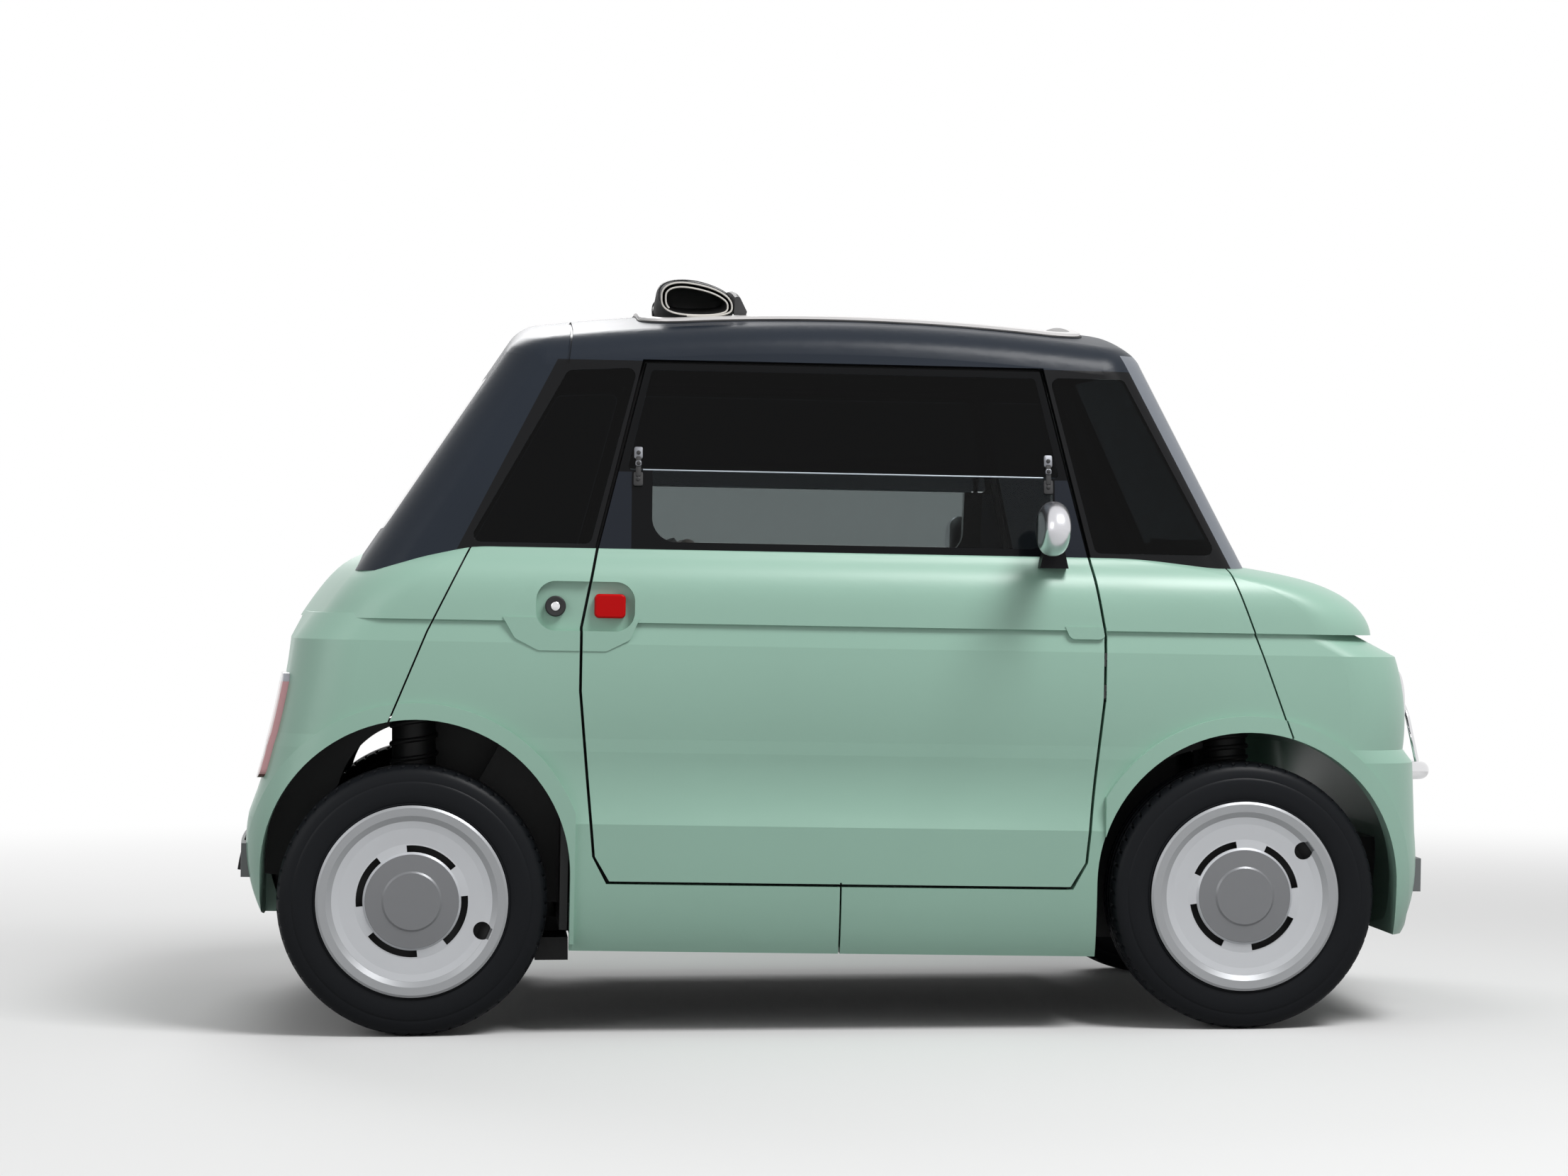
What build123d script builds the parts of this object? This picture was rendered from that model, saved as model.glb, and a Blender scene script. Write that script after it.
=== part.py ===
"""Electric microcar: two seats, plastic panels over a tub, roll-back canvas roof.

Frame: +X forward, +Y to the car's left, +Z up, origin on the ground under
the middle of the overall length. Pieces are modelled about the middle of the
wheelbase and moved there at the end. The body stands slightly nose-down on its wheels, so
everything above the springs is modelled level and then tilted by RAKE.
"""
from build123d import *
from math import asin, cos, degrees, radians, sin, tan
import os

os.makedirs("parts", exist_ok=True)

# Driving sizes of the chassis, in millimetres and degrees
WHEELBASE = 1728
TYRE_RADIUS = 278.5
TYRE_WIDTH = 155
TRACK = 1200
STEER_LOW_Y = 562
STEER_LOW_Z = 150
STEER_TOP_Y = 440
STEER_TOP_Z = 700
SPINDLE_RADIUS = 20
RAKE = 1.05

# Driving sizes of the body
WALL = 42
CAB_WALL = 30
PANEL_GAP = 4
DOOR_GAP = 6
FRAME_GAP = 8
GLASS_THICK = 5
GLASS_GAP = 0.3
SEAT_GAP = 0.3
ARCH_RADIUS = 318
ARCH_HEIGHT = 318
ARCH_FOOT = 100
FLARE_WIDTH = 34
FLARE_IN = 600
SIDE_REACH = 720
WELL_IN = 380
DOOR_X = 12
BELT = 994
CROWN_TOP = 1530
CROWN_LONG_RADIUS = 4900
CROWN_CROSS_RADIUS = 2250
CROWN_REACH = 1100
CROWN_HALF = 700
RAIL_FILLET = 85

# Sections of the lower body: height, front, rear, half width, bow of the
# sides, bow of the ends, corner radius
SILL = [
    (165, 1190, -1160, 672, 10, 26, 130),
    (225, 1236, -1198, 686, 10, 26, 140),
    (320, 1263, -1228, 692, 10, 26, 145),
    (427, 1261, -1228, 693, 10, 26, 145),
]
SCOOP = [
    (427, 1261, -1228, 693, 10, 26, 145),
    (500, 1259, -1204, 676, -10, 28, 145),
    (575, 1257, -1186, 678, -6, 30, 145),
]
LEDGE = [
    (575, 1257, -1186, 678, -6, 30, 145),
    (602, 1240, -1182, 680, -2, 36, 145),
]
FLANK = [
    (602, 1240, -1182, 680, -2, 36, 145),
    (700, 1241, -1162, 688, 8, 36, 145),
    (797, 1223, -1150, 688, 12, 40, 145),
]
STEP = [
    (797, 1223, -1150, 688, 12, 40, 145),
    (852, 1130, -1124, 680, 14, 60, 150),
]
SHOULDER = [
    (842, 1204, -1134, 690, 14, 91, 150),
    (887, 1185, -1104, 688, 15, 91, 155),
    (928, 1135, -1072, 681, 16, 91, 165),
    (961, 1040, -1035, 664, 17, 85, 180),
    (984, 900, -985, 647, 18, 70, 200),
    (994, 780, -930, 638, 18, 60, 200),
]
# Outer faces of the wheel flares, a step outside the flank
FLARE = [
    (165, 1196, -1166, 692, 12, 28, 140),
    (225, 1242, -1204, 699, 12, 28, 145),
    (320, 1268, -1234, 702, 12, 28, 150),
    (560, 1262, -1198, 702, 12, 30, 150),
    (700, 1247, -1172, 698, 12, 36, 150),
]
CAB = [
    (940, 912, -1023, 645, 12, 30, 110),
    (1560, 594, -615, 523, 12, 22, 110),
]
END_BOTTOM = 215
NOSE_STEP = 80
HOOD_WALL = 26
FLOOR_OPENING = 1013

# What reaches furthest forward and back, and the middle between them
TUBE_FRONT = 1306
TUBE_RADIUS = 19
TUBE_HEIGHT = 552
STRIP_LOW = 300
STRIP_PROUD = 14
tilt = radians(RAKE)
front_end = (TUBE_FRONT + TUBE_RADIUS) * cos(tilt) + TUBE_HEIGHT * sin(tilt)
rear_end = (SILL[2][2] - STRIP_PROUD) * cos(tilt) + STRIP_LOW * sin(tilt)
origin_x = (front_end + rear_end) / 2


def hull(rows, inset=0, nose=0, drop=0, straight=False):
    """Block through level sections whose ends and sides are arcs."""
    with BuildPart() as block:
        for z, front, rear, half, side_bow, end_bow, corner in rows:
            x1 = front - nose - inset
            x0 = rear + inset
            y1 = half - inset
            mid = (x0 + x1) / 2
            with BuildSketch(Plane.XY.offset(z - drop)):
                with BuildLine():
                    ThreePointArc((x1 - end_bow, side_bow - y1), (x1, 0), (x1 - end_bow, y1 - side_bow))
                    ThreePointArc((x1 - end_bow, y1 - side_bow), (mid, y1), (x0 + end_bow, y1 - side_bow))
                    ThreePointArc((x0 + end_bow, y1 - side_bow), (x0, 0), (x0 + end_bow, side_bow - y1))
                    ThreePointArc((x0 + end_bow, side_bow - y1), (mid, -y1), (x1 - end_bow, side_bow - y1))
                make_face()
                fillet(vertices(), corner - inset)
        loft(ruled=straight)
    return block.part


def cab_block(inset=0):
    """Upper body: leaning sides and screens under a crowned roof."""
    half = CROWN_HALF
    cross_radius = CROWN_CROSS_RADIUS - inset
    drop = half**2 / (2 * cross_radius)
    with BuildPart() as crown:
        for x in (-CROWN_REACH, 0, CROWN_REACH):
            top = CROWN_TOP - inset - x**2 / (2 * CROWN_LONG_RADIUS)
            with BuildSketch(Plane.YZ.offset(x)):
                with BuildLine():
                    ThreePointArc((-half, top - drop), (0, top), (half, top - drop))
                    Polyline((half, top - drop), (half, half), (-half, half), (-half, top - drop))
                make_face()
        loft()
    with BuildPart() as block:
        add(hull(CAB, inset, straight=True))
        add(crown.part, mode=Mode.INTERSECT)
        fillet(faces().sort_by(Axis.Z)[-1].edges(), RAIL_FILLET - inset)
    return block.part


def side_prism(points, inner, outer, round_to=0, sides=(-1, 1), shrink=0):
    """Side outline in X and Z, run through the car's side walls."""
    with BuildPart() as prism:
        for side in sides:
            plane = Plane(origin=(0, side * inner, 0), x_dir=(1, 0, 0), z_dir=(0, -1, 0))
            with BuildSketch(plane):
                with BuildLine():
                    Polyline(*points, close=True)
                make_face()
                if round_to:
                    fillet(vertices(), round_to)
                if shrink:
                    offset(amount=-shrink, mode=Mode.REPLACE)
            extrude(amount=-side * (outer - inner))
    return prism.part


def cross_prism(points, start, length, round_to=0, shrink=0):
    """Outline in Y and Z, run along X."""
    with BuildPart() as prism:
        with BuildSketch(Plane.YZ.offset(start)):
            with BuildLine():
                Polyline(*points, close=True)
            make_face()
            if round_to:
                fillet(vertices(), round_to)
            if shrink:
                offset(amount=-shrink, mode=Mode.REPLACE)
        extrude(amount=length)
    return prism.part


def on_ground(part):
    """A chassis piece at its place in the finished frame."""
    moved = part.translate((-origin_x, 0, 0))
    moved.label = part.label
    return moved


def on_wheels(part):
    """A piece of the level body, tilted to its place above the springs."""
    tilted = part.rotate(Axis.Y, RAKE)
    tilted.label = part.label
    return on_ground(tilted)


# Outer body, hollow space, upper body
lower_bands = [(SILL, False), (SCOOP, False), (LEDGE, True), (FLANK, False), (STEP, True), (SHOULDER, False)]
with BuildPart() as outer_body:
    for rows, straight in lower_bands:
        add(hull(rows, straight=straight))
with BuildPart() as hollow:
    for rows, straight in lower_bands[:-1]:
        add(hull(rows, WALL, straight=straight))
    add(hull(SHOULDER, WALL, nose=NOSE_STEP, drop=HOOD_WALL))
    with BuildSketch(Plane.XY.offset(SILL[0][0] + 1)):
        Rectangle(2 * FLOOR_OPENING, 2 * (SILL[0][3] - WALL))
    extrude(amount=-WALL)
cab_outer = cab_block()
cab_hollow = cab_block(CAB_WALL)

# Outlines seen from the side
DOOR_HALF_TOP = 414
DOOR_HALF_BELT = 510
DOOR_HALF_MID = 541
DOOR_HALF_LOW = 508
DOOR_TOP = 1384
DOOR_MID_LOW = 700
DOOR_MID_HIGH = 830
DOOR_LOW = 360
DOOR_BOTTOM = 310
DOOR_FOOT = 30
HINGE_RADIUS = 2.2
HINGE_Y = 683
HINGE_TALL = 14
HINGE_HEIGHTS = (716, 782)
HINGE_ARM = 9
HINGE_PLATE = 3
hinge_x = DOOR_HALF_MID + DOOR_GAP / 2


def door_outline(grow):
    """The door's outline, larger or smaller all round, from its lower front corner."""
    half = [
        (DOOR_HALF_LOW - DOOR_FOOT + grow, DOOR_BOTTOM - grow),
        (DOOR_HALF_LOW + grow, DOOR_LOW),
        (DOOR_HALF_MID + grow, DOOR_MID_LOW),
        (DOOR_HALF_MID + grow, DOOR_MID_HIGH),
        (DOOR_HALF_BELT + grow, BELT),
        (DOOR_HALF_TOP + grow, DOOR_TOP + grow),
    ]
    front = [(DOOR_X + x, z) for x, z in half]
    rear = [(DOOR_X - x, z) for x, z in reversed(half)]
    return front + rear


def seam_band(points, width):
    """Narrow band beside a seam line."""
    return points + [(x + width, z) for x, z in reversed(points)]


FRONT_SEAM = [(860, 150), (950, 627), (875, 826), (818, 975), (800, 1010)]
REAR_SEAM = [(-860, 150), (-925, 631), (-850, 817), (-771, 979), (-755, 1010)]


def door_turn(points, side):
    """Right side as given; the left door is the same part turned half round."""
    if side < 0:
        return points
    return [(2 * DOOR_X - x, z) for x, z in points]


def arch_prism(grow, inner, outer):
    """Four wheel openings: a half circle over upright legs."""
    with BuildPart() as prism:
        for side in (-1, 1):
            plane = Plane(origin=(0, side * inner, 0), x_dir=(1, 0, 0), z_dir=(0, -1, 0))
            with BuildSketch(plane):
                for end in (-1, 1):
                    with Locations((end * WHEELBASE / 2, ARCH_HEIGHT)):
                        Circle(ARCH_RADIUS + grow)
                    with Locations((end * WHEELBASE / 2, (ARCH_HEIGHT + ARCH_FOOT) / 2)):
                        Rectangle(2 * (ARCH_RADIUS + grow), ARCH_HEIGHT - ARCH_FOOT)
            extrude(amount=-side * (outer - inner))
    return prism.part


# Raised pads of the shoulder line: under the handle's recess, and over the hinges
BLISTER_ROWS = [
    (770, 1234, -1153, 688, 12, 40, 150),
    (850, 1216, -1144, 688, 12, 40, 150),
]
BLISTER_PROUD = 3
BLISTER_ROUND = 16
HANDLE_BLISTER = [(-706, 870), (-668, 806), (-620, 782), (-480, 782), (-432, 806), (-405, 870)]
HINGE_BLISTER = [(455, 880), (482, 824), (556, 824), (556, 880)]

# Body shell with flares and pads, cut into its panels
SILL_BOTTOM = SILL[0][0]
FLARE_BOTTOM = SILL_BOTTOM + 15
door_edge = DOOR_HALF_MID + DOOR_GAP + 2
with BuildPart() as flares:
    add(hull(FLARE))
    add(arch_prism(FLARE_WIDTH, FLARE_IN, SIDE_REACH), mode=Mode.INTERSECT)
    with BuildSketch(Plane.XY.offset(FLARE_BOTTOM)):
        with Locations((DOOR_X, 0)):
            Rectangle(2 * door_edge, 3 * SIDE_REACH)
    extrude(amount=2 * ARCH_RADIUS, mode=Mode.SUBTRACT)
    with BuildSketch(Plane.XY.offset(FLARE_BOTTOM)):
        Rectangle(2 * WHEELBASE, 3 * SIDE_REACH)
    extrude(amount=-2 * ARCH_RADIUS, mode=Mode.SUBTRACT)
with BuildPart() as blister_prisms:
    for side in (-1, 1):
        for outline in (HANDLE_BLISTER, HINGE_BLISTER):
            add(side_prism(door_turn(outline, side), FLARE_IN, SIDE_REACH, BLISTER_ROUND, (side,)))
with BuildPart() as blisters:
    add(hull(BLISTER_ROWS, -BLISTER_PROUD, straight=True))
    add(blister_prisms.part, mode=Mode.INTERSECT)
with BuildPart() as body_shell:
    add(outer_body.part)
    add(flares.part)
    add(blisters.part)
    add(hollow.part, mode=Mode.SUBTRACT)
    add(cab_hollow, mode=Mode.SUBTRACT)
    add(arch_prism(0, WELL_IN, 2 * SIDE_REACH), mode=Mode.SUBTRACT)
    with BuildSketch(Plane.XY.offset(END_BOTTOM)):
        for end in (-1, 1):
            with Locations((end * WHEELBASE, 0)):
                Rectangle(WHEELBASE, 3 * SIDE_REACH)
    extrude(amount=-SILL_BOTTOM, mode=Mode.SUBTRACT)
    with BuildSketch(Plane.XZ.offset(-SIDE_REACH - 1)):
        for seam in (FRONT_SEAM, REAR_SEAM):
            with BuildLine():
                Polyline(*seam_band(seam, PANEL_GAP), close=True)
            make_face()
        with BuildLine():
            Polyline(*door_outline(DOOR_GAP), close=True)
        make_face()
        with BuildLine():
            Polyline(*door_outline(0), close=True)
        make_face(mode=Mode.SUBTRACT)
        with Locations((DOOR_X, (SILL_BOTTOM + DOOR_BOTTOM - DOOR_GAP) / 2)):
            Rectangle(PANEL_GAP, DOOR_BOTTOM - SILL_BOTTOM + 2 * DOOR_GAP)
    extrude(amount=2 * SIDE_REACH + 2, mode=Mode.SUBTRACT)
panels = body_shell.part.solids().sort_by(Axis.X)
rear_shell, front_shell = panels[0], panels[-1]
rear_panels, door_skins, front_panels = panels[1:3], panels[3:5].sort_by(Axis.Y), panels[5:7]

# Upper body with its screens and side windows cut out
FRONT_QUARTER = [(540, 1003), (447, 1372), (606, 1372), (800, 1003)]
REAR_QUARTER = [(-515, 1003), (-421, 1374), (-566, 1366), (-768, 1003)]
UPPER_PANE = [(-441, 1158), (-391, 1370), (415, 1370), (465, 1158)]
LOWER_PANE = [(-388, 1010), (-388, 1215), (450, 1215), (450, 1010)]
SCREEN = [(-550, 1008), (-474, 1414), (474, 1414), (550, 1008)]
REAR_SCREEN = [(-520, 1030), (-455, 1352), (455, 1352), (520, 1030)]
WINDOW_ROUND = 16
SCREEN_ROUND = 28
UPPER_ROUND = 10
LOWER_ROUND = 50
SCREEN_START = 500
SCREEN_LONG = 600
WINDOW_IN = 400
WINDOW_OUT = 800
ROOF_FRONT = 520
ROOF_REAR = -390
ROOF_HALF = 405
ROOF_ROUND = 70
ROOF_CUT_LOW = 1330
roof_middle = (ROOF_FRONT + ROOF_REAR) / 2
ROOF_SEAM = [(-561, 1600), (-561, 1458), (-570, 1380), (-564, 1380), (-555, 1458), (-555, 1600)]


def quarter_prism(points, shrink=0):
    """Opening of one pair of quarter windows, or its pane's outline."""
    return side_prism(points, WINDOW_IN, WINDOW_OUT, WINDOW_ROUND, shrink=shrink)


def door_window(side, shrink=0):
    """Opening of one door's window, wide above the split and narrower below it."""
    with BuildPart() as opening:
        add(side_prism(door_turn(UPPER_PANE, side), WINDOW_IN, WINDOW_OUT, UPPER_ROUND, (side,), shrink))
        add(side_prism(door_turn(LOWER_PANE, side), WINDOW_IN, WINDOW_OUT, LOWER_ROUND, (side,), shrink))
    return opening.part


with BuildPart() as glass_skin:
    add(cab_outer)
    add(cab_block(GLASS_THICK), mode=Mode.SUBTRACT)
with BuildPart() as roof_seam:
    add(glass_skin.part)
    add(side_prism(ROOF_SEAM, -SIDE_REACH, SIDE_REACH, sides=(1,)), mode=Mode.INTERSECT)
with BuildPart() as roof_opening:
    with BuildSketch(Plane.XY.offset(ROOF_CUT_LOW)):
        with Locations((roof_middle, 0)):
            RectangleRounded(ROOF_FRONT - ROOF_REAR, 2 * ROOF_HALF, ROOF_ROUND)
    extrude(amount=CROWN_TOP - ROOF_CUT_LOW + RAIL_FILLET)
with BuildPart() as cab_shell:
    add(cab_outer)
    add(cab_hollow, mode=Mode.SUBTRACT)
    add(outer_body.part, mode=Mode.SUBTRACT)
    for points in (FRONT_QUARTER, REAR_QUARTER):
        add(quarter_prism(points), mode=Mode.SUBTRACT)
    add(cross_prism(SCREEN, SCREEN_START, SCREEN_LONG, SCREEN_ROUND), mode=Mode.SUBTRACT)
    add(cross_prism(REAR_SCREEN, -SCREEN_START, -SCREEN_LONG, SCREEN_ROUND), mode=Mode.SUBTRACT)
    for side in (-1, 1):
        add(door_window(side), mode=Mode.SUBTRACT)
    add(roof_opening.part, mode=Mode.SUBTRACT)
    add(roof_seam.part, mode=Mode.SUBTRACT)
    with BuildSketch(Plane.XZ.offset(-SIDE_REACH - 1)):
        with BuildLine():
            Polyline(*door_outline(FRAME_GAP), close=True)
        make_face()
        with BuildLine():
            Polyline(*door_outline(0), close=True)
        make_face(mode=Mode.SUBTRACT)
    extrude(amount=2 * SIDE_REACH + 2, mode=Mode.SUBTRACT)
uppers = cab_shell.part.solids().sort_by(Axis.Y)


# Glass lies in its openings with its outer face in line with the body
PANE_SPLIT = 1158
PANE_SPLIT_GAP = 3
with BuildPart() as windscreen:
    add(glass_skin.part)
    add(cross_prism(SCREEN, SCREEN_START, SCREEN_LONG, SCREEN_ROUND, GLASS_GAP), mode=Mode.INTERSECT)
with BuildPart() as rear_window:
    add(glass_skin.part)
    add(cross_prism(REAR_SCREEN, -SCREEN_START, -SCREEN_LONG, SCREEN_ROUND, GLASS_GAP), mode=Mode.INTERSECT)
with BuildPart() as quarter_glass:
    add(glass_skin.part)
    add([quarter_prism(points, GLASS_GAP) for points in (FRONT_QUARTER, REAR_QUARTER)], mode=Mode.INTERSECT)

body_glass = (
    (windscreen, "windscreen"),
    (rear_window, "rear_window"),
    (quarter_glass, "quarter_glass"),
)
for piece, name in body_glass:
    piece.part.label = name
    export_step(on_wheels(piece.part), f"parts/{name}.step")

# Doors: mint lower panel, black frame, glass in two panes
HANDLE_X = 474
HANDLE_Z = 875
HANDLE_LONG = 64
HANDLE_TALL = 50
HANDLE_ROUND = 10
HANDLE_EDGE = 5
BOWL_FRONT = -423
BOWL_REAR = -626
BOWL_LOW = 823
BOWL_HIGH = 925
BOWL_FACE = 664
BOWL_ROUND = 40
HANDLE_FACE = 684
LOCK_X = -586
LOCK_Z = 873
LOCK_RADIUS = 14
LOCK_PROUD = 10
MIRROR_X = 427
MIRROR_Z = 1050
MIRROR_THICK = 54
MIRROR_WIDE = 180
MIRROR_TALL = 112
MIRROR_IN = 690
MIRROR_EDGE = 25
MIRROR_FOOT = [(415, 970), (475, 970), (463, 1020), (427, 1020)]
FOOT_IN = 640
FOOT_OUT = 685
ARM_X = 441
ARM_Z = 1012
ARM_IN = 670
ARM_OUT = 750
ARM_LONG = 28
ARM_TALL = 22
ARM_ROUND = 8


def bowl(side):
    """Shallow recess behind the handle and the lock."""
    corners = [
        (BOWL_REAR, BOWL_LOW),
        (BOWL_FRONT, BOWL_LOW),
        (BOWL_FRONT, BOWL_HIGH),
        (BOWL_REAR, BOWL_HIGH),
    ]
    return side_prism(door_turn(corners, side), BOWL_FACE, SIDE_REACH, BOWL_ROUND, (side,))


def at_side(x, z, y, side):
    """Plane whose normal points out of the car's side at one place."""
    place = x if side < 0 else 2 * DOOR_X - x
    return Plane(origin=(place, side * y, z), x_dir=(1, 0, 0), z_dir=(0, side, 0))


def hinge_half(side, end):
    """One knuckle of each door hinge: end -1 is the door's, below, end 1 the body's, above."""
    x = DOOR_X - side * hinge_x
    reach = -end * side * (DOOR_GAP / 2 + HINGE_ARM)
    with BuildPart() as half:
        for height in HINGE_HEIGHTS:
            start = height + (SEAT_GAP if end > 0 else -HINGE_TALL)
            with BuildSketch(Plane.XY.offset(start)):
                with Locations((x, side * HINGE_Y)):
                    Circle(HINGE_RADIUS)
                with Locations((x + reach / 2, side * HINGE_Y)):
                    Rectangle(abs(reach), HINGE_PLATE)
            extrude(amount=HINGE_TALL)
    return half.part


door_parts = ((-1, "right", door_skins[0], uppers[0]), (1, "left", door_skins[-1], uppers[-1]))
for side, word, skin, frame in door_parts:
    with BuildPart() as door_panel:
        add(skin)
        add(bowl(side), mode=Mode.SUBTRACT)
        add(hinge_half(side, -1))
    with BuildPart() as door_frame:
        add(frame)
    with BuildPart() as door_glass:
        add(glass_skin.part)
        add(door_window(side, GLASS_GAP), mode=Mode.INTERSECT)
        with BuildSketch(Plane.XY.offset(PANE_SPLIT)):
            Rectangle(2 * CROWN_REACH, 3 * SIDE_REACH)
        extrude(amount=PANE_SPLIT_GAP, mode=Mode.SUBTRACT)
    with BuildPart() as door_handle:
        with BuildSketch(at_side(-HANDLE_X, HANDLE_Z, BOWL_FACE + SEAT_GAP, side)):
            RectangleRounded(HANDLE_LONG, HANDLE_TALL, HANDLE_ROUND)
        extrude(amount=HANDLE_FACE - BOWL_FACE)
        fillet(faces().sort_by(Axis.Y)[0 if side < 0 else -1].edges(), HANDLE_EDGE)
    with BuildPart() as mirror:
        with BuildSketch(Plane.YZ.offset(MIRROR_X - MIRROR_THICK / 2)):
            with Locations((side * (MIRROR_IN + MIRROR_WIDE / 2), MIRROR_Z)):
                Ellipse(MIRROR_WIDE / 2, MIRROR_TALL / 2)
        extrude(amount=MIRROR_THICK)
        fillet(faces().sort_by(Axis.X)[0].edges() + faces().sort_by(Axis.X)[-1].edges(), MIRROR_EDGE)
        with BuildSketch(Plane.XZ.offset(-side * FOOT_IN)):
            with BuildLine():
                Polyline(*MIRROR_FOOT, close=True)
            make_face()
        extrude(amount=-side * (FOOT_OUT - FOOT_IN))
        with BuildSketch(Plane.XZ.offset(-side * ARM_IN)):
            with Locations((ARM_X, ARM_Z)):
                RectangleRounded(ARM_LONG, ARM_TALL, ARM_ROUND)
        extrude(amount=-side * (ARM_OUT - ARM_IN))
        add(outer_body.part, mode=Mode.SUBTRACT)
        add(cab_outer, mode=Mode.SUBTRACT)
    door_pieces = (
        (door_panel, "door_panel"),
        (door_frame, "door_frame"),
        (door_glass, "door_glass"),
        (door_handle, "door_handle"),
        (mirror, "mirror"),
    )
    for piece, kind in door_pieces:
        piece.part.label = f"{kind}_{word}"
        export_step(on_wheels(piece.part), f"parts/{piece.part.label}.step")

# Fixed panels with their lamp pockets and the recess round the lock
HEADLAMP_Y = 430
HEADLAMP_Z = 690
HEADLAMP_RADIUS = 70
HEADLAMP_FACE = 1226
HEADLAMP_DEPTH = 70
HEADLAMP_EDGE = 8
POCKET_FRONT = 1300
POCKET_DEPTH = 200
with BuildPart() as lamp_pockets:
    with BuildSketch(Plane.YZ.offset(POCKET_FRONT)):
        with Locations((-HEADLAMP_Y, HEADLAMP_Z), (HEADLAMP_Y, HEADLAMP_Z)):
            Circle(HEADLAMP_RADIUS + SEAT_GAP)
    extrude(amount=-POCKET_DEPTH)
with BuildPart() as front_fascia:
    add(front_shell)
    add(lamp_pockets.part, mode=Mode.SUBTRACT)
front_fascia.part.label = "front_fascia"
export_step(on_wheels(front_fascia.part), "parts/front_fascia.step")
with BuildPart() as rear_fascia:
    add(rear_shell)
rear_fascia.part.label = "rear_fascia"
export_step(on_wheels(rear_fascia.part), "parts/rear_fascia.step")
panel_pairs = (
    (front_panels, "side_panels_front", -1),
    (rear_panels, "side_panels_rear", 1),
)
for pair, name, hinge_side in panel_pairs:
    with BuildPart() as side_panels:
        add(pair)
        for side in (-1, 1):
            add(bowl(side), mode=Mode.SUBTRACT)
        add(hinge_half(hinge_side, 1))
    side_panels.part.label = name
    export_step(on_wheels(side_panels.part), f"parts/{name}.step")
with BuildPart() as door_locks:
    for side in (-1, 1):
        with BuildSketch(at_side(LOCK_X, LOCK_Z, BOWL_FACE + SEAT_GAP, side)):
            Circle(LOCK_RADIUS)
        extrude(amount=LOCK_PROUD)
door_locks.part.label = "door_locks"
export_step(on_wheels(door_locks.part), "parts/door_locks.step")
with BuildPart() as cab_frame:
    add(uppers[1])
cab_frame.part.label = "cab_frame"
export_step(on_wheels(cab_frame.part), "parts/cab_frame.step")

# Roof: rim round the opening and the canvas rolled to the back
RIM_WIDE = 22
RIM_TALL = 9
ROLL_X = -278
ROLL_LONG = 158
ROLL_TALL = 73
ROLL_HALF = 418
ROLL_GAP = 0.6
with BuildPart() as roof_rim:
    with BuildSketch(Plane.XY.offset(ROOF_CUT_LOW)):
        with Locations((roof_middle, 0)):
            rim_long = ROOF_FRONT - ROOF_REAR + 2 * RIM_WIDE
            RectangleRounded(rim_long, 2 * (ROOF_HALF + RIM_WIDE), ROOF_ROUND + RIM_WIDE)
            RectangleRounded(ROOF_FRONT - ROOF_REAR, 2 * ROOF_HALF, ROOF_ROUND, mode=Mode.SUBTRACT)
    extrude(amount=CROWN_TOP - ROOF_CUT_LOW + RAIL_FILLET)
    add(cab_block(-RIM_TALL), mode=Mode.INTERSECT)
    add(cab_outer, mode=Mode.SUBTRACT)
roof_rim.part.label = "roof_rim"
export_step(on_wheels(roof_rim.part), "parts/roof_rim.step")
rim_cross = CROWN_CROSS_RADIUS + RIM_TALL
rim_radius = rim_cross + CROWN_HALF**2 / (4 * rim_cross)
roll_pivot = CROWN_TOP + RIM_TALL - ROLL_X**2 / (2 * CROWN_LONG_RADIUS) - rim_radius
roll_radius = rim_radius + ROLL_TALL / 2 + ROLL_GAP
roll_angle = 2 * degrees(asin(ROLL_HALF / roll_radius))
with BuildPart() as roll:
    with BuildSketch(Plane.XZ):
        with Locations((ROLL_X, roll_pivot + roll_radius)):
            Ellipse(ROLL_LONG / 2, ROLL_TALL / 2)
    revolve(axis=Axis((0, 0, roll_pivot), (1, 0, 0)), revolution_arc=roll_angle)
canvas_roll = roll.part.rotate(Axis((0, 0, roll_pivot), (1, 0, 0)), -roll_angle / 2)
canvas_roll.label = "canvas_roll"
export_step(on_wheels(canvas_roll), "parts/canvas_roll.step")

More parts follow.
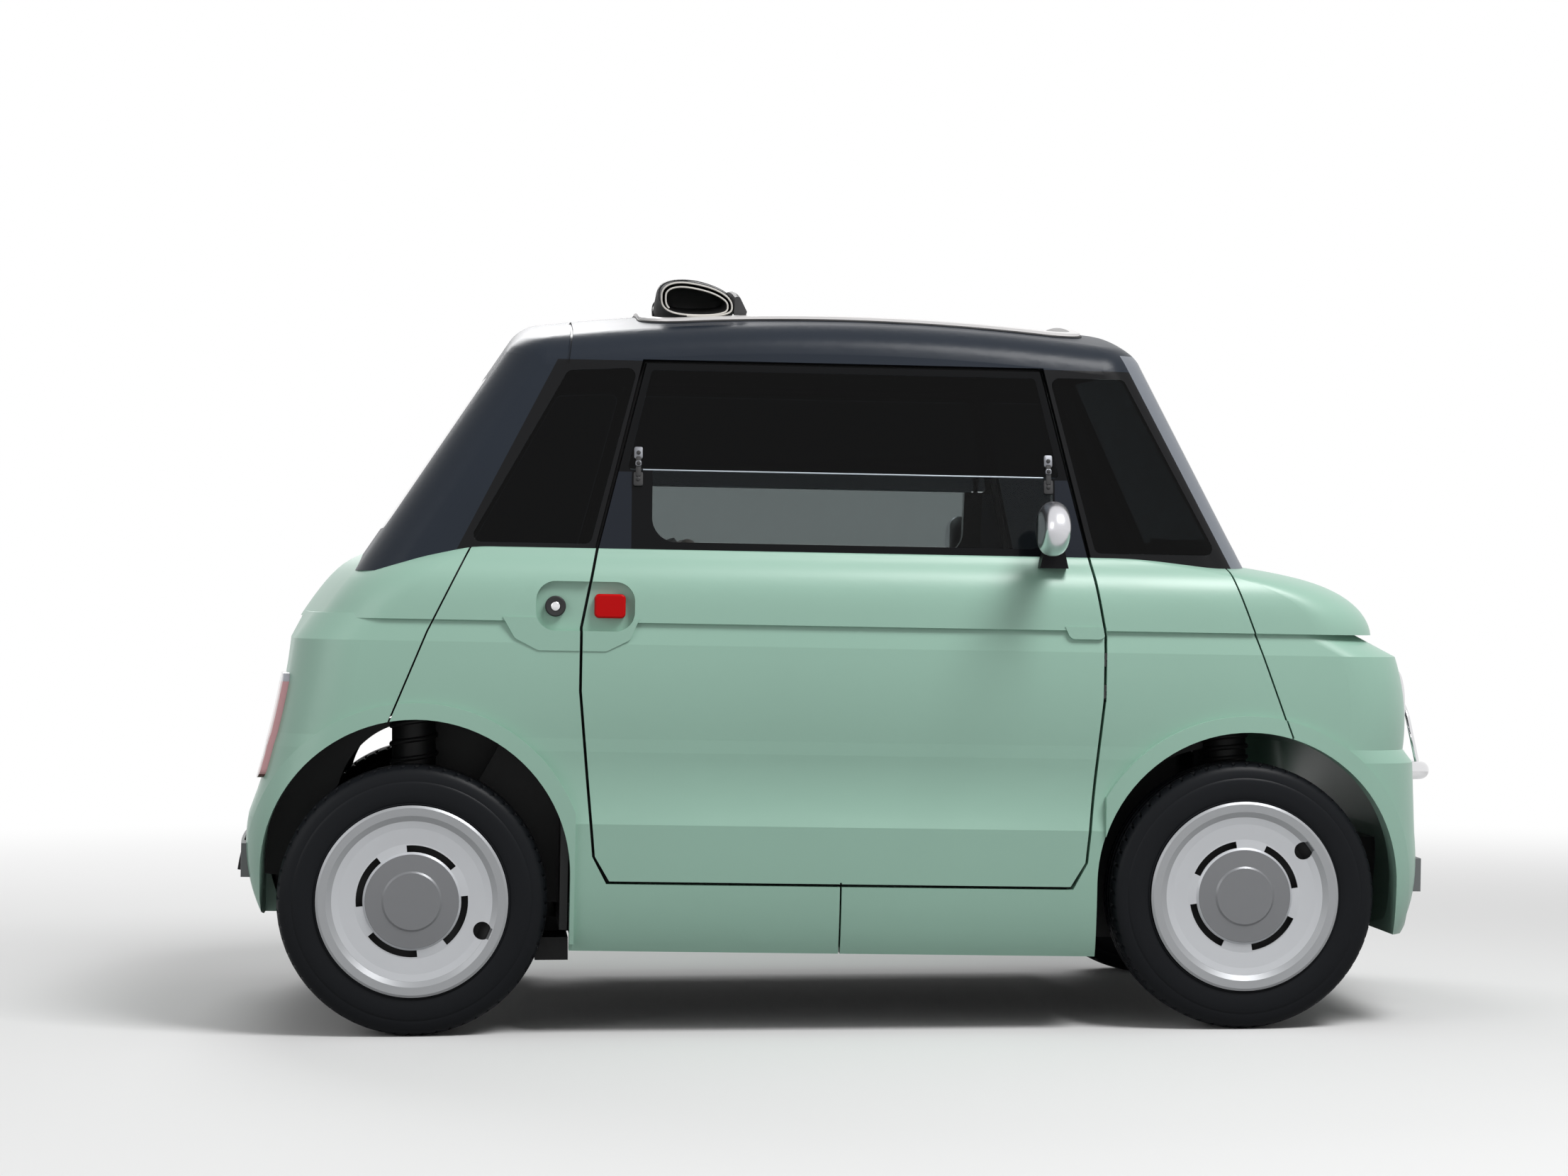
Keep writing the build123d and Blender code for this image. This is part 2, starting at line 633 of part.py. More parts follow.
# Tub: floor, foot box, rear shelf and bay, and the beams behind the bumpers
FLOOR_LOW = 175
FLOOR_THICK = 30
FLOOR_TOP = FLOOR_LOW + FLOOR_THICK
TUB_WALL = 16
SPINE_HALF = 320
FRONT_WALL = 540
FOOT_BOX = 775
REAR_WALL = -550
SHELF_LOW = 690
BAY_REAR = -838
BAY_HALF = 380
BAY_LOW = 330
BAY_WALL = 10
BEAM_LOW = 300
BEAM_HIGH = 400
BEAM_THICK = 60
POST_LONG = 40
POST_WIDE = 60
RIB_LONG = 500
RIB_TALL = 50
TUB_CLEAR = 620
POST_Y = SPINE_HALF - POST_WIDE / 2
beam_ends = (SILL[2][1] - WALL, SILL[2][2] + WALL)
with BuildPart() as tub:
    with BuildSketch(Plane.XY.offset(FLOOR_LOW)):
        Rectangle(2 * FRONT_WALL, 2 * SIDE_REACH)
        Rectangle(2 * WHEELBASE, 2 * SPINE_HALF)
    extrude(amount=FLOOR_THICK)
    with BuildSketch(Plane.XY.offset(FLOOR_TOP)):
        with Locations((FOOT_BOX + RIB_LONG / 2, -POST_Y), (FOOT_BOX + RIB_LONG / 2, POST_Y)):
            Rectangle(RIB_LONG, POST_WIDE)
    extrude(amount=RIB_TALL)
    for end, face in zip((1, -1), beam_ends):
        with BuildSketch(Plane.XY.offset(BEAM_LOW)):
            with Locations((face - end * BEAM_THICK / 2, 0)):
                Rectangle(BEAM_THICK, 2 * SPINE_HALF)
        extrude(amount=BEAM_HIGH - BEAM_LOW)
        with BuildSketch(Plane.XY.offset(FLOOR_TOP)):
            post_x = face - end * (BEAM_THICK - POST_LONG / 2)
            with Locations((post_x, -POST_Y), (post_x, POST_Y)):
                Rectangle(POST_LONG, POST_WIDE)
        extrude(amount=BEAM_LOW - FLOOR_TOP)
    with BuildSketch(Plane.XY.offset(FLOOR_TOP)):
        with BuildLine():
            Polyline(
                (FRONT_WALL - TUB_WALL, -TUB_CLEAR),
                (FRONT_WALL, -TUB_CLEAR),
                (FRONT_WALL, -SPINE_HALF),
                (FOOT_BOX, -SPINE_HALF),
                (FOOT_BOX, SPINE_HALF),
                (FRONT_WALL, SPINE_HALF),
                (FRONT_WALL, TUB_CLEAR),
                (FRONT_WALL - TUB_WALL, TUB_CLEAR),
                (FRONT_WALL - TUB_WALL, SPINE_HALF - TUB_WALL),
                (FOOT_BOX - TUB_WALL, SPINE_HALF - TUB_WALL),
                (FOOT_BOX - TUB_WALL, TUB_WALL - SPINE_HALF),
                (FRONT_WALL - TUB_WALL, TUB_WALL - SPINE_HALF),
                close=True,
            )
        make_face()
        with Locations((REAR_WALL - TUB_WALL / 2, 0)):
            Rectangle(TUB_WALL, 2 * SIDE_REACH)
    extrude(amount=SHELF_LOW - FLOOR_TOP)
    with BuildSketch(Plane.XY.offset(BAY_LOW)):
        with Locations(((REAR_WALL + BAY_REAR) / 2, 0)):
            Rectangle(REAR_WALL - BAY_REAR, 2 * BAY_HALF)
            Rectangle(REAR_WALL - BAY_REAR - 2 * BAY_WALL, 2 * (BAY_HALF - BAY_WALL), mode=Mode.SUBTRACT)
    extrude(amount=SHELF_LOW - BAY_LOW)
    with BuildSketch(Plane.XY.offset(SHELF_LOW)):
        with Locations(((REAR_WALL - WHEELBASE) / 2, 0)):
            Rectangle(REAR_WALL + WHEELBASE, 2 * SIDE_REACH)
        with Locations(((FRONT_WALL + FOOT_BOX - TUB_WALL) / 2, 0)):
            Rectangle(FOOT_BOX - FRONT_WALL + TUB_WALL, 2 * SPINE_HALF)
    extrude(amount=TUB_WALL)
    add(hollow.part, mode=Mode.INTERSECT)
tub.part.label = "floor_tub"
export_step(on_wheels(tub.part), "parts/floor_tub.step")

# Battery box under the seats, motor block between the front wheels
BATTERY_HIGH = 385
BATTERY_X = -150
BATTERY_LONG = 560
BATTERY_WIDE = 1100
MOTOR_X = 980
MOTOR_LONG = 300
MOTOR_WIDE = 400
MOTOR_TALL = 260
BLOCK_ROUND = 30
with BuildPart() as battery:
    with BuildSketch(Plane.XY.offset(FLOOR_TOP + SEAT_GAP)):
        with Locations((BATTERY_X, 0)):
            RectangleRounded(BATTERY_LONG, BATTERY_WIDE, BLOCK_ROUND)
    extrude(amount=BATTERY_HIGH - FLOOR_TOP)
battery.part.label = "battery_box"
export_step(on_wheels(battery.part), "parts/battery_box.step")
with BuildPart() as motor:
    with BuildSketch(Plane.XY.offset(FLOOR_TOP + SEAT_GAP)):
        with Locations((MOTOR_X, 0)):
            RectangleRounded(MOTOR_LONG, MOTOR_WIDE, BLOCK_ROUND)
    extrude(amount=MOTOR_TALL)
motor.part.label = "drive_motor"
export_step(on_wheels(motor.part), "parts/drive_motor.step")

# Seats: one plain cushion and back each
SEAT_WIDE = 440
SEAT_Y = 300
PASSENGER_BACK = 160
seat_low = BATTERY_HIGH + 2 * SEAT_GAP
for word, side, shift in (("driver", 1, 0), ("passenger", -1, -PASSENGER_BACK)):
    with BuildPart() as seat:
        with BuildSketch(Plane.XZ.offset(-side * SEAT_Y - SEAT_WIDE / 2)):
            with BuildLine():
                Polyline(
                    (250 + shift, seat_low),
                    (270 + shift, seat_low + 100),
                    (-110 + shift, seat_low + 80),
                    (-250 + shift, seat_low + 660),
                    (-320 + shift, seat_low + 650),
                    (-190 + shift, seat_low),
                    close=True,
                )
            make_face()
        extrude(amount=SEAT_WIDE)
    seat.part.label = f"seat_{word}"
    export_step(on_wheels(seat.part), f"parts/seat_{word}.step")

# Dashboard across the front wall
with BuildPart() as dashboard:
    with BuildSketch(Plane.XZ.offset(-580)):
        with BuildLine():
            Polyline(
                (FOOT_BOX, SHELF_LOW + TUB_WALL + SEAT_GAP),
                (430, SHELF_LOW + TUB_WALL + SEAT_GAP),
                (400, 840),
                (430, 925),
                (700, 935),
                (FOOT_BOX, 900),
                close=True,
            )
        make_face()
    extrude(amount=1160)
dashboard.part.label = "dashboard"
export_step(on_wheels(dashboard.part), "parts/dashboard.step")

# Steering column and wheel, on an axis that leans back
STEER_X = 230
STEER_Z = 850
STEER_LEAN = 25
STEERING_RADIUS = 175
steer_plane = Plane(
    origin=(STEER_X, SEAT_Y, STEER_Z),
    x_dir=(0, 1, 0),
    z_dir=(-cos(radians(STEER_LEAN)), 0, sin(radians(STEER_LEAN))),
)
with BuildPart() as steering_column:
    with BuildSketch(steer_plane.offset(-30 - SEAT_GAP)):
        Circle(26)
    extrude(amount=-230)
    add(dashboard.part, mode=Mode.SUBTRACT)
steering_column.part.label = "steering_column"
export_step(on_wheels(steering_column.part), "parts/steering_column.step")
with BuildPart() as steering_wheel:
    with BuildSketch(Plane(origin=steer_plane.origin, x_dir=steer_plane.x_dir, z_dir=steer_plane.y_dir)):
        with Locations((STEERING_RADIUS, 0)):
            Circle(14)
    revolve(axis=Axis(steer_plane.origin, steer_plane.z_dir))
    with BuildSketch(steer_plane.offset(-30)):
        Circle(45)
    extrude(amount=35)
    with BuildSketch(steer_plane.offset(-8)):
        Rectangle(2 * STEERING_RADIUS - 10, 40)
    extrude(amount=16)
steering_wheel.part.label = "steering_wheel"
export_step(on_wheels(steering_wheel.part), "parts/steering_wheel.step")

# Lamps, bumper tubes, rubber strips and wiper
TAIL_IN = 452
TAIL_OUT = 580
TAIL_LOW = 507
TAIL_HIGH = 725
TAIL_PROUD = 12
TAIL_ROUND = 18
TAIL_START = 1060
TAIL_REACH = 300
HOOP_RADIUS = 5
HOOP_TOP = 695
STRIP_HIGH = 370
STRIP_HALF = 560
with BuildPart() as headlamps:
    with BuildSketch(Plane.YZ.offset(HEADLAMP_FACE)):
        with Locations((-HEADLAMP_Y, HEADLAMP_Z), (HEADLAMP_Y, HEADLAMP_Z)):
            Circle(HEADLAMP_RADIUS)
    extrude(amount=-HEADLAMP_DEPTH)
    fillet(faces().sort_by(Axis.X)[-2:].edges(), HEADLAMP_EDGE)
headlamps.part.label = "headlamps"
export_step(on_wheels(headlamps.part), "parts/headlamps.step")
with BuildPart() as tail_lamps:
    for rows, straight in lower_bands[1:4]:
        add(hull(rows, -TAIL_PROUD, straight=straight))
    with BuildSketch(Plane.YZ.offset(-TAIL_START)):
        for side in (-1, 1):
            with Locations((side * (TAIL_IN + TAIL_OUT) / 2, (TAIL_LOW + TAIL_HIGH) / 2)):
                RectangleRounded(TAIL_OUT - TAIL_IN, TAIL_HIGH - TAIL_LOW, TAIL_ROUND)
    extrude(amount=-TAIL_REACH, mode=Mode.INTERSECT)
    add(outer_body.part, mode=Mode.SUBTRACT)
tail_lamps.part.label = "tail_lamps"
export_step(on_wheels(tail_lamps.part), "parts/tail_lamps.step")
with BuildPart() as bumper_tubes:
    with BuildLine():
        FilletPolyline(
            (1235, -470, TUBE_HEIGHT),
            (1288, -440, TUBE_HEIGHT),
            (TUBE_FRONT, 0, TUBE_HEIGHT),
            (1288, 440, TUBE_HEIGHT),
            (1235, 470, TUBE_HEIGHT),
            radius=45,
        )
    with BuildSketch(Plane(origin=(1235, -470, TUBE_HEIGHT), z_dir=(53, 30, 0))):
        Circle(TUBE_RADIUS)
    sweep()
    add(outer_body.part, mode=Mode.SUBTRACT)
with BuildPart() as hoop:
    with BuildLine():
        FilletPolyline(
            (1290, -400, TUBE_HEIGHT),
            (1262, -380, HOOP_TOP),
            (1278, 0, HOOP_TOP),
            (1262, 380, HOOP_TOP),
            (1290, 400, TUBE_HEIGHT),
            radius=50,
        )
    with BuildSketch(Plane(origin=(1290, -400, TUBE_HEIGHT), z_dir=(-28, 20, HOOP_TOP - TUBE_HEIGHT))):
        Circle(HOOP_RADIUS)
    sweep()
with BuildPart() as front_bumper:
    add(bumper_tubes.part)
    add(hoop.part)
front_bumper.part.label = "front_bumper"
export_step(on_wheels(front_bumper.part), "parts/front_bumper.step")
strip_rows = [(STRIP_LOW, *SILL[2][1:]), (STRIP_HIGH, *SILL[2][1:])]
with BuildPart() as bumper_strips:
    add(hull(strip_rows, -STRIP_PROUD, straight=True))
    with BuildSketch(Plane.XY.offset(STRIP_LOW)):
        Rectangle(2 * SILL[2][1] + 100, 2 * STRIP_HALF)
    extrude(amount=STRIP_HIGH - STRIP_LOW, mode=Mode.INTERSECT)
    add(outer_body.part, mode=Mode.SUBTRACT)
bumper_strips.part.label = "bumper_strips"
export_step(on_wheels(bumper_strips.part), "parts/bumper_strips.step")

# Chassis pieces stand in the ground's frame
axle_x = WHEELBASE / 2
wheel_y = TRACK / 2
hub_z = TYRE_RADIUS
BALL_RADIUS = 16
TOP_BALL_RADIUS = 20
BALL_GAP = 0.3
CROSS_HIGH = 158
CROSS_LOW = 112
CROSS_HALF = 345
CROSS_LONG = 90
TOWER_THICK = 20
TOWER_TOP = STEER_TOP_Z + 12
with BuildPart() as front_subframe:
    with BuildSketch(Plane.XY.offset(CROSS_LOW)):
        with Locations((axle_x, 0)):
            Rectangle(CROSS_LONG, 2 * CROSS_HALF)
    extrude(amount=CROSS_HIGH - CROSS_LOW)
    for side in (-1, 1):
        with BuildSketch(Plane.XY.offset(STEER_LOW_Z - 12)):
            with Locations((axle_x, side * STEER_LOW_Y)):
                Circle(26)
            with BuildLine():
                Polyline(
                    (axle_x - 40, side * (CROSS_HALF - 10)),
                    (axle_x + 40, side * (CROSS_HALF - 10)),
                    (axle_x + 22, side * STEER_LOW_Y),
                    (axle_x - 22, side * STEER_LOW_Y),
                    close=True,
                )
            make_face()
        extrude(amount=24)
        with BuildSketch(Plane.XY.offset(CROSS_HIGH)):
            with Locations((axle_x, side * (CROSS_HALF - TOWER_THICK / 2))):
                Rectangle(CROSS_LONG, TOWER_THICK)
        extrude(amount=TOWER_TOP - CROSS_HIGH)
        with BuildSketch(Plane.XY.offset(STEER_TOP_Z - 12)):
            with Locations((axle_x, side * (CROSS_HALF - TOWER_THICK))):
                Rectangle(CROSS_LONG, 2 * (STEER_TOP_Y + 40 - CROSS_HALF + TOWER_THICK))
        extrude(amount=24)
    with BuildSketch(Plane.XY.offset(STEER_TOP_Z - 13)):
        with Locations((axle_x, 0)):
            Rectangle(CROSS_LONG + 2, 2 * (CROSS_HALF - TOWER_THICK))
    extrude(amount=26, mode=Mode.SUBTRACT)
    for side in (-1, 1):
        with Locations((axle_x, side * STEER_LOW_Y, STEER_LOW_Z)):
            Sphere(BALL_RADIUS + BALL_GAP, mode=Mode.SUBTRACT)
        with Locations((axle_x, side * STEER_TOP_Y, STEER_TOP_Z)):
            Sphere(TOP_BALL_RADIUS + BALL_GAP, mode=Mode.SUBTRACT)
front_subframe.part.label = "front_subframe"
export_step(on_ground(front_subframe.part), "parts/front_subframe.step")


def rod(start, end, radius):
    """Round bar between two points."""
    line = Vector(*end) - Vector(*start)
    with BuildPart() as bar:
        with BuildSketch(Plane(origin=start, z_dir=line)):
            Circle(radius)
        extrude(amount=line.length)
    return bar.part


SPINDLE_IN = 545
SPINDLE_OUT = 640
UPRIGHT_THICK = 44
STRUT_Y = 470
STRUT_Z = 380
SPRING_RADIUS = 46
for side, word in ((-1, "right"), (1, "left")):
    low = (axle_x, side * STEER_LOW_Y, STEER_LOW_Z)
    top = (axle_x, side * STEER_TOP_Y, STEER_TOP_Z)
    foot = (axle_x, side * STRUT_Y, STRUT_Z)
    line = Vector(*top) - Vector(*foot)
    with BuildPart() as knuckle:
        with BuildSketch(Plane.YZ.offset(axle_x - UPRIGHT_THICK / 2)):
            with BuildLine():
                Polyline(
                    (side * 548, 185),
                    (side * 574, 185),
                    (side * 586, 240),
                    (side * 586, 320),
                    (side * 522, 415),
                    (side * 455, 430),
                    (side * 455, 385),
                    (side * 505, 370),
                    (side * 548, 300),
                    close=True,
                )
            make_face()
        extrude(amount=UPRIGHT_THICK)
        add(rod((axle_x, side * SPINDLE_IN, hub_z), (axle_x, side * SPINDLE_OUT, hub_z), SPINDLE_RADIUS))
        add(rod(low, (axle_x, side * STEER_LOW_Y, 190), 9))
        add(rod(foot, tuple(Vector(*foot) + line * 0.55), 25))
        add(rod(foot, top, 10))
        add(rod(tuple(Vector(*foot) + line * 0.5), tuple(Vector(*foot) + line * 0.86), SPRING_RADIUS))
        with Locations(low):
            Sphere(BALL_RADIUS)
        with Locations(top):
            Sphere(TOP_BALL_RADIUS)
    knuckle.part.label = f"knuckle_{word}"
    export_step(on_ground(knuckle.part), f"parts/knuckle_{word}.step")

# Rear axle: cross member under the floor, trailing arms, dampers, spindles
REAR_CROSS_X = -575
REAR_CROSS_HIGH = 184
REAR_CROSS_LOW = 136
ARM_Y = 440
ARM_WIDE = 40
damper_top = (SHELF_LOW + axle_x * tan(radians(RAKE))) - 6
with BuildPart() as rear_axle:
    with BuildSketch(Plane.XY.offset(REAR_CROSS_LOW)):
        with Locations((REAR_CROSS_X, 0)):
            Rectangle(70, 2 * ARM_Y + ARM_WIDE)
    extrude(amount=REAR_CROSS_HIGH - REAR_CROSS_LOW)
    for side in (-1, 1):
        with BuildSketch(Plane.XZ.offset(-side * ARM_Y - ARM_WIDE / 2)):
            with BuildLine():
                Polyline(
                    (REAR_CROSS_X + 35, REAR_CROSS_LOW),
                    (REAR_CROSS_X + 35, REAR_CROSS_HIGH),
                    (REAR_CROSS_X - 35, REAR_CROSS_HIGH),
                    (-axle_x - 30, hub_z + 35),
                    (-axle_x - 50, hub_z - 35),
                    (-axle_x + 30, hub_z - 45),
                    close=True,
                )
            make_face()
        extrude(amount=ARM_WIDE)
        add(rod((-axle_x, side * ARM_Y, hub_z), (-axle_x, side * SPINDLE_OUT, hub_z), SPINDLE_RADIUS))
        add(rod((-axle_x, side * ARM_Y, hub_z), (-axle_x, side * 575, hub_z), 42))
        add(rod((-axle_x, side * ARM_Y, hub_z), (-axle_x, side * ARM_Y, 560), 22))
        add(rod((-axle_x, side * ARM_Y, 420), (-axle_x, side * ARM_Y, 660), SPRING_RADIUS))
        add(rod((-axle_x, side * ARM_Y, 560), (-axle_x, side * ARM_Y, damper_top), 12))
    add(rod((-axle_x + 74, -ARM_Y, hub_z - 22), (-axle_x + 74, ARM_Y, hub_z - 22), 28))
rear_axle.part.label = "rear_axle"
export_step(on_ground(rear_axle.part), "parts/rear_axle.step")

# Tyres and wheels, turned about an axle along Y
FLANGE_IN = 66
FLANGE_OUT = 76
FLANGE_RADIUS = 190
HUB_GAP = 0.3
CAP_RADIUS = 197
# Outward place and radius of the tyre's section, from bead to tread
TYRE_HALF = [
    (65.7, 178.3),
    (65.7, 191),
    (74, 191.5),
    (77.5, 225),
    (75, 251),
    (67, 268),
    (56, 276.5),
    (44, 278.5),
]
RIM_SECTION = [
    (-76, 174),
    (-76, 190),
    (-66, 190),
    (-66, 178),
    (66, 178),
    (66, 190),
    (76, 190),
    (76, 174),
    (60, 168),
    (50, 150),
    (46, 118),
    (44, 70),
    (48, 45),
    (48, SPINDLE_RADIUS + HUB_GAP),
    (-12, SPINDLE_RADIUS + HUB_GAP),
    (-12, 40),
    (30, 48),
    (34, 118),
    (38, 158),
    (30, 165),
    (-60, 166),
]
CAP_SECTION = [
    (76.3, 197),
    (80, 197),
    (83, 192),
    (82, 176),
    (76, 165),
    (73, 150),
    (70, 118),
    (71, 101),
    (76, 96),
    (77, 62),
    (80, 58),
    (80, 0),
    (76, 0),
    (76, 55),
    (73, 60),
    (72, 92),
    (67, 97),
    (66, 118),
    (69, 152),
    (72, 168),
    (76.3, 178),
]
SLOT_RADIUS = 108
SLOT_WIDE = 14
SLOT_ANGLE = 57
VALVE_RADIUS = 18.5
VALVE_PLACE = 156
VALVE_NOTCH = 24
CAP_FACE = 76
CAP_CUT = 20


def turned(section, centre, side):
    """Ring or disc from its section: distance outward from the wheel's middle, radius."""
    x, y, z = centre
    with BuildPart() as ring:
        with BuildSketch(Plane(origin=centre, x_dir=(0, side, 0), z_dir=(side, 0, 0))):
            with BuildLine():
                Polyline(*section, close=True)
            make_face()
        revolve(axis=Axis(centre, (0, 1, 0)))
    return ring.part


places = (
    ("front_right", 1, -1, 37),
    ("front_left", 1, 1, -52),
    ("rear_right", -1, -1, -23),
    ("rear_left", -1, 1, 15),
)
tyre_section = TYRE_HALF + [(-out, radius) for out, radius in reversed(TYRE_HALF)]
for word, end, side, angle in places:
    centre = (end * axle_x, side * wheel_y, hub_z)
    with BuildPart() as tyre:
        add(turned(tyre_section, centre, side))
    tyre.part.label = f"tyre_{word}"
    export_step(on_ground(tyre.part), f"parts/tyre_{word}.step")
    with BuildPart() as cap:
        add(turned(CAP_SECTION, centre, side))
        face_plane = Plane(origin=centre, x_dir=(1, 0, 0), z_dir=(0, side, 0))
        with BuildSketch(face_plane.offset(CAP_FACE)):
            for turn in range(4):
                start = angle + 90 * turn - SLOT_ANGLE / 2
                with BuildLine():
                    outer_arc = CenterArc((0, 0), SLOT_RADIUS + SLOT_WIDE / 2, start, SLOT_ANGLE)
                    inner_arc = CenterArc((0, 0), SLOT_RADIUS - SLOT_WIDE / 2, start, SLOT_ANGLE)
                    Line(outer_arc @ 0, inner_arc @ 0)
                    Line(outer_arc @ 1, inner_arc @ 1)
                make_face()
            with PolarLocations(VALVE_PLACE, 1, angle):
                Circle(VALVE_RADIUS)
                Rectangle(VALVE_RADIUS, VALVE_NOTCH, align=(Align.MIN, Align.CENTER))
        extrude(amount=CAP_CUT, both=True, mode=Mode.SUBTRACT)
    with BuildPart() as wheel:
        add(turned(RIM_SECTION, centre, side))
        add(cap.part)
    wheel.part.label = f"wheel_{word}"
    export_step(on_ground(wheel.part), f"parts/wheel_{word}.step")
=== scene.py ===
from math import atan2, cos, hypot, pi, radians, sin

import bmesh
import bpy
from mathutils import Matrix, Vector


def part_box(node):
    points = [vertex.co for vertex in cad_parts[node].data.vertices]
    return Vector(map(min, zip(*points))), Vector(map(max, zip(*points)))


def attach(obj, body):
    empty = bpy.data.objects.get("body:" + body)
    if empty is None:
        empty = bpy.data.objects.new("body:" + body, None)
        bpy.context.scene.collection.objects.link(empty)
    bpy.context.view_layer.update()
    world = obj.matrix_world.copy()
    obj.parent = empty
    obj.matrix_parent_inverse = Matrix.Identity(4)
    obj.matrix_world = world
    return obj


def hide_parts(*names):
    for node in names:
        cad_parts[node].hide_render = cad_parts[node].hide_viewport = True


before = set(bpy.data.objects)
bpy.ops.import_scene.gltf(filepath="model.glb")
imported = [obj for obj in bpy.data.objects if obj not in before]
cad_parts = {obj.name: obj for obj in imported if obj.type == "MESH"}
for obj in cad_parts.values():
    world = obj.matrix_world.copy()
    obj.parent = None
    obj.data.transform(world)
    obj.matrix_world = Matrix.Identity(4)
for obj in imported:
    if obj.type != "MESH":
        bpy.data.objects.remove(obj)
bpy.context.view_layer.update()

# The sprung body is modelled level and then tilted nose-down, as in the CAD.
BODY_TILT = radians(1.05)
BODY_SHIFT = -0.0493
LEVEL = Matrix.Translation((BODY_SHIFT, 0, 0)) @ Matrix.Rotation(BODY_TILT, 4, "Y")
AXLE_X = 0.864
HUB_Z = 0.2785

# Floor tone as the camera sees it, and as it lights the underside of the car
FLOOR_SEEN = 0.78
FLOOR_BOUNCE = 0.22
# Strength of the surroundings on shaded sides
SHADE_LEVEL = 0.26
# Where the floor fades to white, in metres from the car
FADE_FROM = 2.2
FADE_TO = 7.0
FLOOR_HALF = 60


# Shader nodes

def feed(tree, node, inputs):
    """Each input of a node takes another node's result, or a plain value."""
    for name, value in inputs.items():
        if isinstance(value, bpy.types.NodeSocket):
            tree.links.new(value, node.inputs[name])
        else:
            node.inputs[name].default_value = value


def new_node(tree, kind, inputs=None, **settings):
    """Results of a new node of a kind, with its inputs and settings."""
    made = tree.nodes.new(f"ShaderNode{kind}")
    for setting, value in settings.items():
        setattr(made, setting, value)
    feed(tree, made, inputs or {})
    return made.outputs


def calc(tree, operation, *values):
    """Result of one sum on numbers or on other nodes' results."""
    return new_node(tree, "Math", dict(enumerate(values)), operation=operation)[0]


def length(tree, vector):
    """Length of a vector."""
    return new_node(tree, "VectorMath", {0: vector}, operation="LENGTH")["Value"]


def object_place(tree):
    """Place of a point in the finished frame."""
    return new_node(tree, "TexCoord")["Object"]


def axes(tree, vector):
    """X, Y and Z of a vector."""
    parts = new_node(tree, "SeparateXYZ", {0: vector})
    return parts["X"], parts["Y"], parts["Z"]


def add_object(name, data):
    """Object in the scene that holds some data."""
    made = bpy.data.objects.new(name, data)
    bpy.context.scene.collection.objects.link(made)
    return made


# Camera, light and floor

def place_camera():
    """A long lens at hip height, square to the car's right side but for a few degrees."""
    lens = bpy.data.cameras.new("camera")
    lens.sensor_width = 36
    lens.lens = 88.5
    camera = add_object("camera", lens)
    camera.location = (-0.7727, -8.6097, 0.921)
    camera.rotation_euler = (radians(90), 0, radians(-4.5))
    bpy.context.scene.camera = camera


def soft_light(name, place, target, size, power):
    """Large square lamp aimed at a point."""
    lamp = bpy.data.lights.new(name, "AREA")
    lamp.shape = "SQUARE"
    lamp.size = size
    lamp.energy = power
    holder = add_object(name, lamp)
    holder.location = place
    aim = Vector(target) - Vector(place)
    holder.rotation_euler = aim.to_track_quat("-Z", "Y").to_euler()


def light_studio():
    """White surroundings for camera, gloss and glass; a softer level for shaded light."""
    world = bpy.data.worlds.new("studio")
    bpy.context.scene.world = world
    world.use_nodes = True
    tree = world.node_tree
    tree.nodes.clear()
    rays = new_node(tree, "LightPath")
    seen = calc(tree, "MAXIMUM", rays["Is Camera Ray"], rays["Is Glossy Ray"])
    seen = calc(tree, "MAXIMUM", seen, rays["Is Transmission Ray"])
    level = new_node(tree, "MapRange", {"To Min": SHADE_LEVEL, "To Max": 1.0, "Value": seen})[0]
    background = new_node(tree, "Background", {"Color": (1, 1, 1, 1), "Strength": level})
    new_node(tree, "OutputWorld", {"Surface": background[0]})
    bpy.context.scene.view_settings.view_transform = "Standard"
    soft_light("key_lamp", (2.4, -3.6, 6.0), (0, 0, 0.7), 2.6, 375)
    soft_light("fill_lamp", (-5.0, -4.0, 3.0), (0, 0, 0.7), 3.5, 60)
    soft_light("back_lamp", (-1.5, 5.0, 4.5), (0, 0, 0.9), 3.0, 150)


def lay_floor():
    """Pale floor that keeps the shadow near the car and fades to white far away."""
    mesh = bpy.data.meshes.new("floor")
    corners = [(x * FLOOR_HALF, y * FLOOR_HALF, 0) for x, y in ((-1, -1), (1, -1), (1, 1), (-1, 1))]
    mesh.from_pydata(corners, [], [(0, 1, 2, 3)])
    floor = add_object("floor", mesh)
    floor_paint = bpy.data.materials.new("floor_paint")
    floor_paint.use_nodes = True
    tree = floor_paint.node_tree
    tones = {"A": (*[FLOOR_SEEN] * 3, 1), "B": (*[FLOOR_BOUNCE] * 3, 1)}
    tones["Factor"] = new_node(tree, "LightPath")["Is Diffuse Ray"]
    tone = new_node(tree, "Mix", tones, data_type="RGBA")["Result"]
    shader = tree.nodes["Principled BSDF"]
    feed(tree, shader, {"Roughness": 0.9, "Base Color": tone})
    white = new_node(tree, "Emission", {"Strength": 1.0})[0]
    limits = {"From Min": FADE_FROM, "From Max": FADE_TO, "Value": length(tree, object_place(tree))}
    fade = new_node(tree, "MapRange", limits, interpolation_type="SMOOTHSTEP")[0]
    mix = new_node(tree, "MixShader", {0: fade, 1: shader.outputs[0], 2: white})
    feed(tree, tree.nodes["Material Output"], {"Surface": mix[0]})
    mesh.materials.append(floor_paint)


# Finishes

# Size of the soft clouds in each finish
CLOUD_SIZE = 0.25
# A length that reaches past the car from any limit
PAST_CAR = 9
# Doors, in the level body's metres
DOOR_MIDDLE = 0.012
DOOR_HALF = 0.544
HINGE_GAP = 0.0028
HINGE_HEIGHTS = (0.695, 0.803)
FLIP_PANE = (1.0, 1.1595)
FLIP_PANE_HALF = 0.46
CORNER_FROM = 0.443
CORNER_TOP = 1.155
